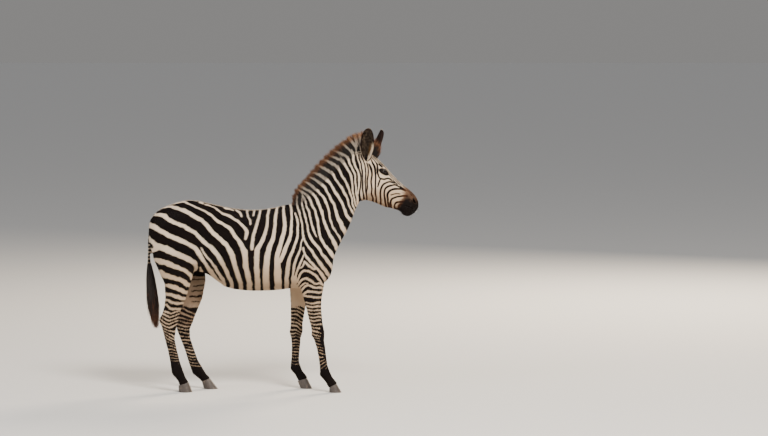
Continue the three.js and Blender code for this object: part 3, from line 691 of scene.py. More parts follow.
# %% White strokes of the neck
WHITE_NECK = """
302.5,194,.6 302.5,203,.7 303.8,210,.8 305,215,.8 306.3,220,.8 307.5,225,.8 308,230,.9 309.5,235,1
  311,238,1.2 314,242,1.3 317,246,1.3 320,250,1.3 323.3,255,1.3 327,260,1.5 330,264,1.6 334,270,1.6
  338,276,1.6;
303,197,.5 305.5,200,.5 307,205,.6 308.5,210,.8 310,215,.8 311,220,.8 312.3,225,.8 313.5,230,.8 315,234,.8
  316.7,237,.6;
297,189,.5 301,190.5,.6 304,193,.8 307,195.3,1 309.5,198,1.1 310.7,200,.9 312.5,205,.9 315,210,.9 316.5,215,1
  317.8,220,1 318.3,225,1 319,230,1 320,235,1 322,240,1.2 325,245,1.3 328,249,1.5 331,253,1.6 333.5,256.5,1.8
  336,260,2 342,266,2;
294,183,.6 299.5,185,.7 302,186.5,.8 306,189,.9 310,191,1 313,193.5,1.1 315,196,1 317,200,1.1 319.5,205,1.1
  321.5,210,1.1 323,215,1.1 324,220,1 325.5,225,1.2 327.5,230,1.3 330,235,1.4 333,240,1.6 335.5,245,1.8
  337.5,249,1.9 343,256,2;
300,180,.5 307,182.5,.7 310,184.5,.9 314,187.5,1 318,191,1.1 320.5,193.5,1 323,196.5,1 325.5,201,1
  327.5,206,1 329,211,.8 330,216,.8 331,221,.8 332.5,226,.8 335,230,.8 338,234.5,.8 340.3,239,.8 345,248,.8;
304,176,.5 311,177.5,.7 313,178.5,.9 317,181,1.1 321,184,1.2 324.5,187.5,1.1 327,191,1 329.5,195.5,.9
  331.2,200,1 334.5,205,1.1 335.8,210,1.3 337,215,1.6 339,220,1.8 341.5,225,2 344,230,2 346,233,2.2
  352,240,2.4;
309,172,.6 315,173,1 318,174,1.3 322,176,1.5 326,179,1.6 329,182,1.3 332,186,1.1 335,191,1.2 338,196,1.3
  340.5,200,1.2 343,205,1.2 345,210,1.2 347,215,1.3 349.5,219,1.4 352,222,1.5 358,230,1.6;
315,164,.6 321,166.5,.9 325,169,1.2 329,171,1.4 332,173,1.3 334.5,176.5,1 337,181,.9 340.5,186,1
  343.5,191,1.1 345.5,195,1 347.7,200,.9 349,205,.8 351,210,.9 354,214,1 360,222,1.2;
320,158,.6 326,160.5,1 330,162.5,1.2 334,165,1.4 337.5,167,1.3 339.5,171,1 341.5,175,.9 345,180,.8
  347.5,185,.8 349.5,190,.8 350.7,195,.8 352.2,200,.7 353,205,.7 354.3,209,.8 357,213,1;
325,153,.6 330,155.5,.8 334,157,1.1 338,158.7,1.3 342,160.5,1.5 344.5,164,1 347,168,1 349.5,172.5,.9
  351.3,177,.9 352.5,183,.8 353,190,.8 353.8,196,.7 355,201,.7 356.5,206,.8 360,210,1;
331,149,.6 336,151.5,.8 341,153.5,1.1 345,155.5,1.3 348,158,1.1 349.5,162,.9 351,166,.8 353,170,.8
  354.8,175,.8 355.5,180,.7 355.8,186,.7 356.2,191,.7 357,196,.8 358,203,1 359,208,1;
337,140,.6 343,144,.8 346,147,.9 349,149.5,1 352,151.5,1.1 353.3,155,1 353.9,160,.9 355.3,165,.9 357,169,.8
  358.4,173,.8 359.1,178,.9 359.2,184,.8 358.7,189,.8 358,194,.6;
350,126,.8 353.5,133,1 356.3,140,1.1 357.3,147,.7;
357,126,.8 359.5,134,1 360.5,142,1 361,150,.6;
344,132,.7 350,139,.9 354,144,1.2 356.3,148,1 356.5,153,.8 357,158,.8 358.5,162,.8 360,166,.8;
"""
print("neck:", WHITE_NECK.count(";"), "strokes")

# %% Black strokes of the face
BLACK_FACE = """
355,149.5,.7 355.6,156,.7 357.3,162,.7 359.3,168,.7 360.6,174,.7 360.9,180,.7 360.5,186,.7 359.6,192,.7
  359.5,197,.8 361.5,201,1;
358.5,152,.5 359.2,158,.55 361,164,.5 362.6,170,.5 362.6,176,.5 362.8,182,.5 362.6,188,.5 363.5,194,.6
  364,199,.7;
361,155,.4 363,161,.4 365,165,.4 365.6,171,.4 365.8,176,.4 365.3,182,.4 365.5,188,.4 366.5,194,.5
  366.8,200,.6;
367,163,.4 368.5,169,.5 368.1,175,.5 367.2,181,.5 367.3,187,.5 366.8,193,.5 366.6,200,.5;
369,164,.4 371,168,.8 372,174,.7 371.5,180,.6 371.4,186,.6 371.8,192,.6 372.5,198,.7 373.5,203,.8;
371.5,161,.5 374,166,.8 375.5,171,.9 375.7,177,.6 375.3,184,.6 375.3,190,.6 376,197,.5 376.7,203,.6;
373,159,.5 376,163,.7 377.5,168,.7 378,173,.6 379,177,.5 380.5,178.6,.6 384,179.2,.6 388,178.4,.6
  391,179.8,.6 395,182.7,.4;
380,180,.5 379,183,.6 377.7,187,.4;
381,206,.8 380.7,200,.7 380.5,194,.7 381,189,.7 383,185,.7 386,183,.7 390,182,.6 394.5,183.5,.4;
386.5,209,.8 385.5,203,.7 384.5,197,.7 384.6,191,.7 386,188,.7 390,186,.7 395,185.4,.6 400,187,.6 404,189,.5;
389.5,209,.9 388.5,204,.8 387.5,198,.8 387.9,194,.8 390,190.7,.8 394,189.4,.7 400,189,.7 405,190.7,.6;
391.2,209,.7 390.6,203,.7 391.6,199.4,.7 395,197.6,.7 400,196.4,.7 407,196,.8;
391,195,.3 395,193.7,.35 400,194,.35;
395.5,210,.8 394.6,205.5,.7 396,202.8,.7 400,202,.7 404,201.5,.7 409,200,.8;
398.5,209,.6 399,205.5,.6 402,204,.6;
372,158,.5 376,161,.7 380,165.3,.9 382,167.3,.5;
374.5,158.3,.4 379,161.7,.6 383,165.5,.5;
377,157.8,.4 381,161,.4 385,165.5,.4;
357,146.5,.6 359.3,149,.7 358.6,153,.6;
360.5,151,.5 362,152,.6;
360.3,150.5,.25 361.2,153.5,.3 362.6,156.8,.3 364.8,160,.3 367.6,161.2,.3 370.3,159.6,.25 372.3,157,.2;
"""
print("face:", BLACK_FACE.count(";"), "strokes")


# %% From strokes to distances
def parsed(text):
    """The strokes of a text. A semicolon ends each, and its dots are x, y and half width."""
    rows = [row.split() for row in text.split(";")]
    return [np.array([[float(value) for value in dot.split(",")] for dot in row]) for row in rows if row]


def curved(dots, steps=5):
    """A Catmull-Rom curve through the dots, their half widths with them."""
    padded = np.vstack([2 * dots[0] - dots[1], dots, 2 * dots[-1] - dots[-2]])
    rows = []
    for k in range(len(dots) - 1):
        a, b, c, d = padded[k:k + 4]
        slope, bow, twist = c - a, 2 * a - 5 * b + 4 * c - d, 3 * b - a - 3 * c + d
        for t in np.linspace(0, 1, steps, endpoint=False):
            rows.append(0.5 * (2 * b + slope * t + bow * t**2 + twist * t**3))
    return np.vstack([*rows, dots[-1]])


REACH = 9.0  # how far from a stroke, in sheet units, its distance still counts


def outside(strokes, places):
    """How far each place lies outside the nearest stroke, in sheet units; less than 0 inside one."""
    best = np.full(len(places), REACH)
    for line in strokes:
        low, high = line[:, :2].min(axis=0) - REACH, line[:, :2].max(axis=0) + REACH
        near = np.flatnonzero(((places > low) & (places < high)).all(axis=1))
        if not len(near):
            continue
        own, found = places[near], np.full(len(near), REACH)
        for start, end in zip(line[:-1], line[1:]):
            step = end[:2] - start[:2]
            share = np.clip((own - start[:2]) @ step / max(step @ step, 1e-9), 0, 1)
            gap = own - start[:2] - share[:, None] * step
            half = start[2] + (end[2] - start[2]) * share
            found = np.minimum(found, np.sqrt((gap**2).sum(axis=1)) - half)
        best[near] = np.minimum(best[near], found)
    return best


BODY = (WHITE_HAUNCH, WHITE_BARREL, WHITE_SHOULDER, WHITE_NECK)
BODY_STROKES = [curved(row) for text in BODY for row in parsed(text)]
FACE_STROKES = [curved(row) for row in parsed(BLACK_FACE)]
print("curves:", len(BODY_STROKES), "white on the body,", len(FACE_STROKES), "black on the face")

# %% [markdown]
# Below elbow and stifle the stripes become rings, which grow narrower down to the black fetlocks. Drawing
# them one by one would add nothing, so a ring is a count: the height runs through a table to a number of
# rings, and black is wherever that number is near a whole one. Rings tilt, and on the thigh and shank they
# sag, so the height is first shifted with the distance from the middle of the leg. The forehead is hidden
# from the side, so its lines are a count too, of steps from the middle that shrink as the face narrows.

# %% Rings on the legs
RINGS = {  # heights and the count of rings there, then heights, tilt forwards and sag there
    "fore_right": (
        [0.597, 0.38, 0.15], [0, 9.3, 20.6],
        [0.60, 0.45, 0.40, 0.25, 0.2], [0, 0.1, 0.35, 0.4, -0.7], [0.05, 0.1, -0.2, 0, 0]),
    "fore_left": (
        [0.597, 0.38, 0.15], [0, 9.0, 20.0],
        [0.60, 0.45, 0.36, 0.28, 0.2], [0.2, 0.45, 0.25, 0, 0.1], [-0.1, -0.35, -0.4, -0.3, 0.2]),
    "hind_right": (
        [0.5246, 0.40, 0.18], [0, 5.6, 16.6],
        [0.56, 0.42, 0.36, 0.28, 0.2], [0.05, 0, 0.8, 0.25, 0], [0.45, 0.4, 0.1, -0.2, 0.2]),
    "hind_left": (
        [0.5246, 0.40, 0.14], [0, 5.0, 17.0],
        [0.56, 0.47, 0.40, 0.28, 0.2], [0.4, 0.35, 0.15, 0.1, 0.2], [0.1, 0, 0.2, -0.2, 0.1]),
}
RING_PERIOD = ([0.2, 0.4, 0.6], [0.020, 0.022, 0.024])  # heights, and metres from ring to ring there
RING_SHARE = ([0.15, 0.22, 0.35, 0.55], [0.43, 0.395, 0.37, 0.305])  # heights, and half the share of black
RING_TOP = {"fore": 0.605, "hind": 0.534}
STOCKING = {"fore_right": 0.160, "fore_left": 0.150, "hind_right": 0.190, "hind_left": 0.135}
LEG_SWING = {"fore": 0.095, "hind": -0.098}  # how far the left legs stand off the right ones


def wavy(points, size, seed):
    """Smooth noise between about -1 and 1, made of nine crossing waves."""
    chance = np.random.default_rng(seed)
    total = np.zeros(len(points))
    for _ in range(9):
        way = unit(chance.normal(size=3))
        turn = points @ way * 2 * math.pi / size / chance.uniform(0.7, 1.5)
        total += np.sin(turn + chance.uniform(0, 6.3))
    return total / 3.2


def ring_ink(points, leg):
    heights, counts, spots, tilts, sags = RINGS[leg]
    middle, _ = leg_middle(leg, points[:, 2] * 1000)
    off = points[:, 0] - middle
    z = points[:, 2]
    shifted = z + np.interp(z, spots[::-1], tilts[::-1]) * off
    shifted = shifted - np.interp(z, spots[::-1], sags[::-1]) * np.sqrt(off**2 + 0.006**2)
    shifted = shifted + 0.0028 * wavy(points, 0.07, 5)
    count = np.interp(shifted, heights[::-1], counts[::-1])
    period = np.interp(z, *RING_PERIOD)
    share = np.interp(z, *RING_SHARE)
    black = (share + 0.05 * wavy(points, 0.05, 6) - np.abs(count - np.round(count))) * period
    stocking = STOCKING[leg] - z + 0.006 * wavy(points, 0.04, 7)
    if leg == "fore_right":  # black along the front of the shank
        front = off - 0.005 - 0.22 * np.abs(z - 0.33) + 0.003 * wavy(points, 0.03, 12)
        black = np.maximum(black, front)
    return np.maximum(black, stocking)


def with_rings(ink, points):
    x, y, z = points.T
    for leg in FEET:
        kind, side = leg.split("_")
        own = ((x > -0.2) == (kind == "fore")) & ((y < 0) == (side == "right"))
        own &= (z < RING_TOP[kind]) & (np.abs(y) > 0.045)
        ink[own] = ring_ink(points[own], leg)
    return ink


print("rings:", sum(round(counts[-1]) for _, counts, *_ in RINGS.values()), "on four legs")


# %% Inner sides of the legs
def facing_in(points, normals):
    """1 on the inner side of the legs."""
    return ramp(-np.sign(points[:, 1]) * normals[:, 1], 0.15, 0.5)


def banded(values, pitch, half):
    """Ink of even black bands, one at every whole number of pitches and half to either side of it."""
    count = values / pitch
    return half - np.abs(count - np.round(count)) * pitch


BAR_PITCH, BAR_HALF = 0.036, 0.0046


def with_inner_sides(ink, points, normals):
    """Plain inner sides, with short bars on the left thigh and painted shade, as black ink, in the fold
    above it.
    """
    x, y, z = points.T
    inner = facing_in(points, normals) * (1 - ramp(z, 0.76, 0.82)) * ramp(z, 0.52, 0.57)
    bars = banded(z + 0.004 * wavy(points, 0.05, 9), BAR_PITCH, BAR_HALF)
    bars = np.minimum(bars, (x + 0.600 + 0.012 * wavy(points, 0.03, 10)) * 0.5)
    bars = np.where((y > 0) & (x < -0.3), bars, -0.01)
    ink = np.where(inner > 0.5, bars, ink)
    # Painted shade: black ink in the fold where the far hind thigh meets the belly.
    groin_shade = 0.03 * (1 - ((x + 0.535) / 0.060) ** 2 - ((z - 0.775) / 0.034) ** 2)
    return np.where((y > -0.03) & (normals[:, 2] < 0.3), np.maximum(ink, groin_shade), ink)


skin_points, skin_normals = points_of(skin_mesh), normals_of(skin_mesh)
print("skin facing inwards:", round(float(facing_in(skin_points, skin_normals).mean()), 2))


# %% Lines of the face
WAVER, LEFT_WAVER = 0.0016, 0.006  # how far stripes wander from their strokes, and more so on the left side


def on_own_sheet(points):
    """Places on the sheet, with the left side's stripes a little unlike the right side's."""
    x, y, z = points.T
    left = (y > 0) * ramp(np.abs(y), 0.0, 0.06)
    swing = np.where(x > -0.2, LEG_SWING["fore"], LEG_SWING["hind"]) * (1 - ramp(z, 0.60, 0.88)) * left
    waver = WAVER * wavy(points, 0.05, 1) + LEFT_WAVER * left * wavy(points, 0.35, 2)
    return on_sheet(points + np.stack([swing + waver, 0 * x, waver], axis=1))


def down_face(points):
    """How far down the face a point lies from the level of the eye, in metres."""
    return 0.80 * (points[:, 0] - 0.66) - 0.60 * (points[:, 2] - 1.44)


BROW_PITCH = (  # how far down the face, and metres from line to line there
    [-0.13, -0.04, 0.06, 0.14, 0.22], [0.0085, 0.0120, 0.0105, 0.0084, 0.0066])


def brow_ink(points):
    """Long lines down the forehead and nose, which draw together as the face grows narrower."""
    down = down_face(points)
    pitch = np.interp(down, *BROW_PITCH)
    lines = (np.abs(points[:, 1]) + 0.0024 * wavy(points, 0.10, 13)) / pitch
    share = 0.285 + 0.06 * ramp(np.abs(points[:, 1]), 0.022, 0.045)
    return (share + 0.05 * wavy(points, 0.05, 14) - np.abs(lines - np.round(lines))) * pitch


FACE_WIDER = 0.28  # how much wider the lines of the face are than their strokes, in sheet units
JAW_LINE = 214  # the sheet's y below which no line of the face is drawn
POLL = 1.49  # the height of the forehead's top


def with_face(ink, points, normals, places):
    edge = np.interp(places[:, 1], FACE_STROKES[0][:, 1], FACE_STROKES[0][:, 0])
    on_face = (places[:, 0] > edge) & (places[:, 1] < JAW_LINE)
    face = (FACE_WIDER - outside(FACE_STROKES, places)) / SHEET
    front = ramp(normals[:, 0] + 0.7 * normals[:, 2], 0.62, 0.80) > 0.5
    front &= np.abs(points[:, 1]) < 0.058
    front |= (points[:, 2] > POLL) & (normals[:, 2] > 0.5)
    face = np.where(front, brow_ink(points), face)
    return np.where(on_face, face, ink)


print("skin on the head:", round(float(headness(skin_points).mean()), 2))

# %% Spine and tail, and the ink of the skin
SPINE_HALF, SPINE_WHITE = 0.008, 0.009  # the dark line down the back and the white beside it


def with_spine(ink, points, normals):
    x, y, z = points.T
    back = (normals[:, 2] > 0.3) & (x < 0.02) & (x > -0.84) & (z > 1.0)
    spine = SPINE_HALF - np.abs(y)
    return np.where(back, np.maximum(spine, np.minimum(ink, -SPINE_WHITE - spine)), ink)


TAIL_X = (  # heights along the tail, and the x of its middle there
    [0.398, 0.462, 0.530, 0.600, 0.680, 0.755, 0.830, 0.905, 0.980, 1.045, 1.098],
    [-0.825, -0.835, -0.847, -0.850, -0.854, -0.865, -0.870, -0.872, -0.869, -0.857, -0.838])
DOCK_RADIUS, DOCK_PITCH, DOCK_BLACK = 0.031, 0.023, 0.0085


def with_dock(ink, points):
    x, y, z = points.T
    dock = np.hypot(x - SHIFT - np.interp(z, *TAIL_X), y) < DOCK_RADIUS
    return np.where(dock, banded(z, DOCK_PITCH, DOCK_BLACK), ink)


def ink_of(points, normals):
    """Metres from each point to the nearest edge of a stripe: more than 0 in black, less in white."""
    places = on_own_sheet(points)
    ink = outside(BODY_STROKES, places) / SHEET
    ink = with_face(ink, points, normals, places)
    ink = with_spine(ink, points, normals)
    ink = with_rings(ink, points)
    ink = with_inner_sides(ink, points, normals)
    return with_dock(ink, points)


def paint(mesh, name, values):
    mesh.attributes.new(name, "FLOAT", "POINT").data.foreach_set("value", values.astype(np.float32))


skin_ink = ink_of(skin_points, skin_normals)
paint(skin_mesh, "ink", skin_ink)
print("black share of the skin:", round(float((skin_ink > 0).mean()), 2))

# %% [markdown]
# Besides its ink every point carries three tones: how warm its white is, how far it is the black skin of
# muzzle, eyelid or ear, and how far it is rust brown, as between nostrils and stripes. They are soft masks,
# worked out from the place of the point and the way it faces. The warm tone is painted shade on the inner
# sides of the legs and on the face. Low on the body, down the legs and under the belly it is partly dust and
# partly painted shade. The rust tone also holds painted shade under the jaw.

# %% Warm, black and rust
EARS = {  # root, tip and the way that the cup opens, in degrees from +X towards +Y
    "right": ((548, -56, 1520), (562, -100, 1721), -97),
    "left": ((572, 56, 1518), (658, 88, 1694), 22),
}


def heading(degrees):
    return np.array([math.cos(math.radians(degrees)), math.sin(math.radians(degrees)), 0])


def in_ears(points):
    """1 on the skin at the bottom of the cups of the ears, 0 elsewhere."""
    found = np.zeros(len(points))
    for root, tip, opens in EARS.values():
        up, facing = unit(np.array(tip) - root), heading(opens)
        local = points - np.array(root) / 1000 - 0.014 * up
        rise, ahead = local @ up, local @ facing
        beside = np.linalg.norm(local - np.outer(rise, up) - np.outer(ahead, facing), axis=1)
        reach = (rise / 0.024) ** 2 + (beside / 0.014) ** 2 + (ahead / 0.030) ** 2
        found = np.maximum(found, 1 - ramp(reach, 0.8, 1.1))
    return found


SOCKET_OFF = [0.004, 0.001, 0]
SOCKET_REACH = [0.042, 0.0225, 0.029]  # of the dark skin round the eye: along the slit, upwards and outwards


def tones_of(points, normals):
    """How warm and brown the white is, from 0 to 2, partly dust and partly painted shade, and how far the
    skin is black or rust brown, from 0 to 1, the rust with painted shade under the jaw.
    """
    x, _, z = points.T
    # The white turns tan lower on the body and brown down the legs, partly dust and partly painted shade.
    low = (1 - ramp(z, 0.72, 1.02)) * 0.95
    shank = (1 - ramp(z, 0.30, 0.62)) * 1.55
    # Painted shade: the inner sides of the legs, between them, turn tan on the forelegs and dark brown on
    # the hind legs.
    inner = np.where(x > -0.2, 0.9 * (1 - ramp(z, 0.60, 0.80)), 2.0 - 0.8 * ramp(z, 0.80, 0.90))
    inner = inner * facing_in(points, normals) * ramp(z, 0.30, 0.45) * (1 - ramp(z, 0.86, 0.92))
    # The downward-facing belly turns tan, partly dust and partly painted shade.
    belly_dust_and_shade = 1.15 * ramp(-normals[:, 2], 0.1, 0.8) * (z > 0.6)
    down, head = down_face(points), headness(points)
    # Painted shade: the face is tan, and browner on its lower part.
    face = head * (0.42 + 0.5 * (1 - ramp(z, 1.27, 1.36)))
    warm = np.clip(np.maximum.reduce([low, shank, inner, belly_dust_and_shade, face]) + 0.12 * wavy(points, 0.12, 3), 0, 2)
    nose = ramp(down + 0.004 * wavy(points, 0.02, 4), 0.195, 0.235) * head
    from_eye = (mirrored(points) - EYE) @ np.array(eye_axes()).T
    socket = (from_eye - SOCKET_OFF) / SOCKET_REACH
    upper = ramp(normals[:, 2] + 0.4 * normals[:, 0], 0.02, 0.62) * (1 - ramp(down, 0.25, 0.33))
    upper = upper * ramp(z, 1.212, 1.245)
    nose = nose * (1 - 0.60 * upper)
    nose = np.maximum(nose, 1 - ramp((socket**2).sum(axis=1), 0.75, 1.1))
    nose = np.maximum(nose, in_ears(points))
    rust = ramp(down + 0.004 * wavy(points, 0.02, 8) + 0.022 * upper, 0.180, 0.222)
    # Painted shade: the head's downward-facing underside is darkened towards rust brown.
    jaw = 0.55 * ramp(-normals[:, 2], 0.1, 0.7) * (1 - nose)
    return warm, nose, np.maximum(rust, jaw) * head


TONES = ("warm", "nose", "rust")
for tone, values in zip(TONES, tones_of(skin_points, skin_normals)):
    paint(skin_mesh, tone, values)
    print(tone, "on average:", round(float(values.mean()), 2))

# %% [markdown]
# ## Coat colours
#
# The coat is hair of two colours over dark skin. A picture could be laid over it, but shader nodes stay
# sharp close up and can be shared. What serves several materials is a node group: one draws noise out into
# streaks, for hair and horn, and another turns ink and tones into the coat's colour.

# %% Streaks
def node_group(name, inputs, output, kind="ShaderNodeTree"):
    """An empty group with its named inputs and its one output."""
    tree = bpy.data.node_groups.new(name, kind)
    for way, sockets in (("INPUT", inputs), ("OUTPUT", [output])):
        for label, value in sockets:
            tree.interface.new_socket(label, in_out=way, socket_type="NodeSocket" + value)
    return tree, tree.nodes.new("NodeGroupInput"), tree.nodes.new("NodeGroupOutput")


def noise(tree, vector, scale, detail=2.0):
    node = tree.nodes.new("ShaderNodeTexNoise")
    node.inputs["Scale"].default_value = scale
    node.inputs["Detail"].default_value = detail
    tree.links.new(vector, node.inputs["Vector"])
    return node.outputs["Fac"]


def streaks_group():
    """Noise drawn out into streaks, for hair and horn."""
    inputs = [("Vector", "Vector"), ("Fineness", "Vector")]
    tree, given, result = node_group("streaks", inputs, ("Height", "Float"))
    drawn_out = tree.nodes.new("ShaderNodeMapping")
    tree.links.new(given.outputs["Vector"], drawn_out.inputs["Vector"])
    tree.links.new(given.outputs["Fineness"], drawn_out.inputs["Scale"])
    tree.links.new(noise(tree, drawn_out.outputs["Vector"], 1.0, 3.0), result.inputs["Height"])
    return tree


STREAKS = streaks_group()
print("streaks:", len(STREAKS.nodes), "nodes")

# %% [markdown]
# Black or white is read from the ink, with a soft, slightly frayed edge, because hairs of both colours cross
# there. White hair is cream above and turns tan lower down, partly dust and partly painted shade, and brown
# on the inner sides of the legs as painted shade, with dust in soft patches over both colours. The muzzle is
# nearly bare, so its black covers everything else.

# %% Colour of the coat
# The tan and the brown after it are partly dust and partly painted shade; the brown is mostly painted shade.
CREAM, TAN, SHADED_DUSTY_BROWN = (0.70, 0.57, 0.435), (0.50, 0.36, 0.235), (0.185, 0.115, 0.072)
BLACK, NOSE, RUST = (0.0045, 0.0028, 0.0025), (0.0055, 0.0035, 0.003), (0.062, 0.019, 0.006)
DUST_ON_WHITE, DUST_ON_BLACK, DUST_SHARE = (0.50, 0.40, 0.29), (0.013, 0.007, 0.005), 0.35


def value_of(tree, operation, *values):
    node = tree.nodes.new("ShaderNodeMath")
    node.operation = operation
    for socket, value in zip(node.inputs, values):
        fed(tree, socket, value)
    return node.outputs["Value"]


def coat_colour_group():
    inputs = [("Vector", "Vector")] + [(name, "Float") for name in ("Ink", "Warm", "Nose", "Rust")]
    tree, given, result = node_group("coat colour", inputs, ("Colour", "Color"))
    place, ink, warm, nose, rust = (given.outputs[name] for name, _ in inputs)
    frayed = value_of(tree, "MULTIPLY_ADD", noise(tree, place, 260.0), 0.0036, -0.0018)
    black = eased(tree, value_of(tree, "ADD", ink, frayed), -0.0012, 0.0012)
    # The warm tone darkens the white to tan and then brown, partly dust and partly painted shade.
    white = colour_mix(tree, eased(tree, warm, 0.0, 1.0), CREAM, TAN)
    white = colour_mix(tree, eased(tree, warm, 1.0, 2.0), white, SHADED_DUSTY_BROWN)
    dust = value_of(tree, "MULTIPLY", eased(tree, noise(tree, place, 9.0, 4.0), 0.35, 0.75), DUST_SHARE)
    white = colour_mix(tree, dust, white, DUST_ON_WHITE)
    dark = colour_mix(tree, dust, BLACK, DUST_ON_BLACK)
    coat = colour_mix(tree, black, white, dark)
    coat = colour_mix(tree, value_of(tree, "MULTIPLY", rust, 0.85), coat, RUST)
    coat = colour_mix(tree, nose, coat, NOSE)
    tree.links.new(coat, result.inputs["Colour"])
    return tree


COAT_COLOUR = coat_colour_group()
print("coat colour:", len(COAT_COLOUR.nodes), "nodes")

# %% The skin's own material
BUMP_DEPTH = 0.0012  # how deep the bump of hair and horn is, in metres


def placed_group(tree, group, **values):
    """A group in a material's tree; each value is a socket, a number or a colour."""
    node = tree.nodes.new("ShaderNodeGroup")
    node.node_tree = group
    for name, value in values.items():
        fed(tree, node.inputs[name.replace("_", " ").capitalize()], value)
    return node.outputs[0]


def streaks(tree, place, fineness):
    return placed_group(tree, STREAKS, vector=place, fineness=fineness)


def carried(tree, name):
    """A value that the mesh carries at each of its points."""
    node = tree.nodes.new("ShaderNodeAttribute")
    node.attribute_name = name
    return node.outputs["Fac"]


def own_place(tree):
    return tree.nodes.new("ShaderNodeTexCoord").outputs["Object"]


def hair_bump(tree, height, strength):
    """Feeds the surface's normal with a bump of hair or horn."""
    bump = tree.nodes.new("ShaderNodeBump")
    bump.inputs["Distance"].default_value = BUMP_DEPTH
    bump.inputs["Strength"].default_value = strength
    tree.links.new(height, bump.inputs["Height"])
    tree.links.new(bump.outputs["Normal"], tree.nodes["Principled BSDF"].inputs["Normal"])


def linked_coat_colour(tree, place):
    """The coat's colour on a piece that carries its ink and tones."""
    tones = {name: carried(tree, name) for name in ("ink", *TONES)}
    colour = placed_group(tree, COAT_COLOUR, vector=place, **tones)
    tree.links.new(colour, tree.nodes["Principled BSDF"].inputs["Base Color"])


def skin_material():
    material = own_material("skin and undercoat", CREAM, 0.62, 0.05)
    tree = material.node_tree
    place = own_place(tree)
    linked_coat_colour(tree, place)
    hair = streaks(tree, place, (110.0, 620.0, 330.0))
    pores = value_of(tree, "MULTIPLY", noise(tree, place, 520.0), 0.4)
    hair_bump(tree, value_of(tree, "ADD", hair, pores), 0.50)
    return material


def handed_in(name, mesh, material, slot, *nodes):
    """Puts a finished piece in the scene: its material and what it replaces. The slot is not used."""
    item = new_object(name, mesh)
    mesh.materials.append(material)
    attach(item, "root")
    if nodes:
        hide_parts(*nodes)
    print(f"{name}: {sum(len(face.vertices) - 2 for face in mesh.polygons):,} triangles")


handed_in("skin", skin_mesh, skin_material(), "coat", *FLESH)

# %% [markdown]
# ## Eyes and lids
#
# A zebra's eye is large, dark and wet. The ball is a smooth sphere deep in its socket. Across it lie a wide
# brown iris and a pupil that is a flat oval. They could be two more meshes, but a pattern over the ball is
# simpler: each point carries its place as the eye sees it, and the material reads that. The rims of the
# lids are a thin dark roll of bare skin that follows the almond, and the lashes stand on the upper one.

# %% Eyeballs
def eye_point(p, q, radius, sign):
    """A point over the eye: p along the slit, q upwards, at a distance from the ball's centre."""
    along, up, out = eye_axes()
    depth = np.sqrt(np.clip(radius**2 - p**2 - q**2, 0, None))
    place = EYE + np.outer(p, along) + np.outer(q, up) + np.outer(depth, out)
    return place * [1, sign, 1]


def ring_faces(rings, sides):
    """Two triangles for each step round the rings, from every ring to the next."""
    faces = []
    for i in range(rings - 1):
        for j in range(sides):
            a, b = i * sides + j, i * sides + (j + 1) % sides
            faces += [[a, b, b + sides], [a, b + sides, a + sides]]
    return faces


def eyeball(sign, rings=39, around=64):
    """Level rings of points from the bottom to the top, and one point at either end."""
    tilt = np.repeat(np.arange(1, rings + 1), around) * math.pi / (rings + 1)
    turn = np.tile(np.arange(around), rings) * 2 * math.pi / around
    wall = np.stack([np.sin(tilt) * np.cos(turn), np.sin(tilt) * np.sin(turn), -np.cos(tilt)], axis=1)
    points = np.vstack([wall, (0, 0, -1), (0, 0, 1)]) * EYE_RADIUS + EYE * [1, sign, 1]
    faces, low, last = ring_faces(rings, around), len(wall), len(wall) - around
    faces += [[low, (j + 1) % around, j] for j in range(around)]
    faces += [[low + 1, last + j, last + (j + 1) % around] for j in range(around)]
    return points, np.array(faces)


def eye_mesh():
    mesh = mesh_from("eyes", *merged([eyeball(sign) for sign in SIDES.values()]))
    along, up, _ = eye_axes()
    local = (mirrored(points_of(mesh)) - EYE) / EYE_RADIUS
    paint(mesh, "slit", local @ along)
    paint(mesh, "upward", local @ up)
    mesh.shade_smooth()
    return mesh


IRIS_DARK, IRIS_LIGHT = (0.009, 0.004, 0.002), (0.026, 0.010, 0.005)
PUPIL, EYE_WHITE = (0.002, 0.002, 0.003), (0.060, 0.035, 0.026)
PUPIL_HALF, PUPIL_HIGH = 0.50, 0.27  # of the ball's radius


def eye_material():
    material = own_material("eye", (0.03, 0.012, 0.006), 0.08, 0.2)
    tree = material.node_tree
    surface = tree.nodes["Principled BSDF"]
    across, upward = carried(tree, "slit"), carried(tree, "upward")
    wide = value_of(tree, "POWER", value_of(tree, "DIVIDE", across, PUPIL_HALF), 2.0)
    high = value_of(tree, "POWER", value_of(tree, "DIVIDE", upward, PUPIL_HIGH), 2.0)
    pupil = eased(tree, value_of(tree, "ADD", wide, high), 0.85, 1.1)
    reach = value_of(tree, "ADD", value_of(tree, "POWER", across, 2.0), value_of(tree, "POWER", upward, 2.0))
    white = eased(tree, reach, 0.60, 0.74)
    fibres = eased(tree, noise(tree, own_place(tree), 900.0, 3.0), 0.3, 0.7)
    iris = colour_mix(tree, fibres, IRIS_DARK, IRIS_LIGHT)
    seen = colour_mix(tree, pupil, PUPIL, iris)
    seen = colour_mix(tree, white, seen, EYE_WHITE)
    tree.links.new(seen, surface.inputs["Base Color"])
    surface.inputs["Coat Weight"].default_value = 0.25
    surface.inputs["Coat Roughness"].default_value = 0.02
    return material


handed_in("eyes", eye_mesh(), eye_material(), "eye", "eye_right", "eye_left")


# %% Rims of the lids
def mesh_of_triangles(name, points, triangles):
    mesh = bpy.data.meshes.new(name)
    mesh.vertices.add(len(points))
    mesh.vertices.foreach_set("co", np.asarray(points, np.float32).ravel())
    mesh.loops.add(3 * len(triangles))
    mesh.loops.foreach_set("vertex_index", np.asarray(triangles, np.int32).ravel())
    mesh.polygons.add(len(triangles))
    mesh.polygons.foreach_set("loop_start", np.arange(0, 3 * len(triangles), 3, dtype=np.int32))
    mesh.update(calc_edges=True)
    return mesh


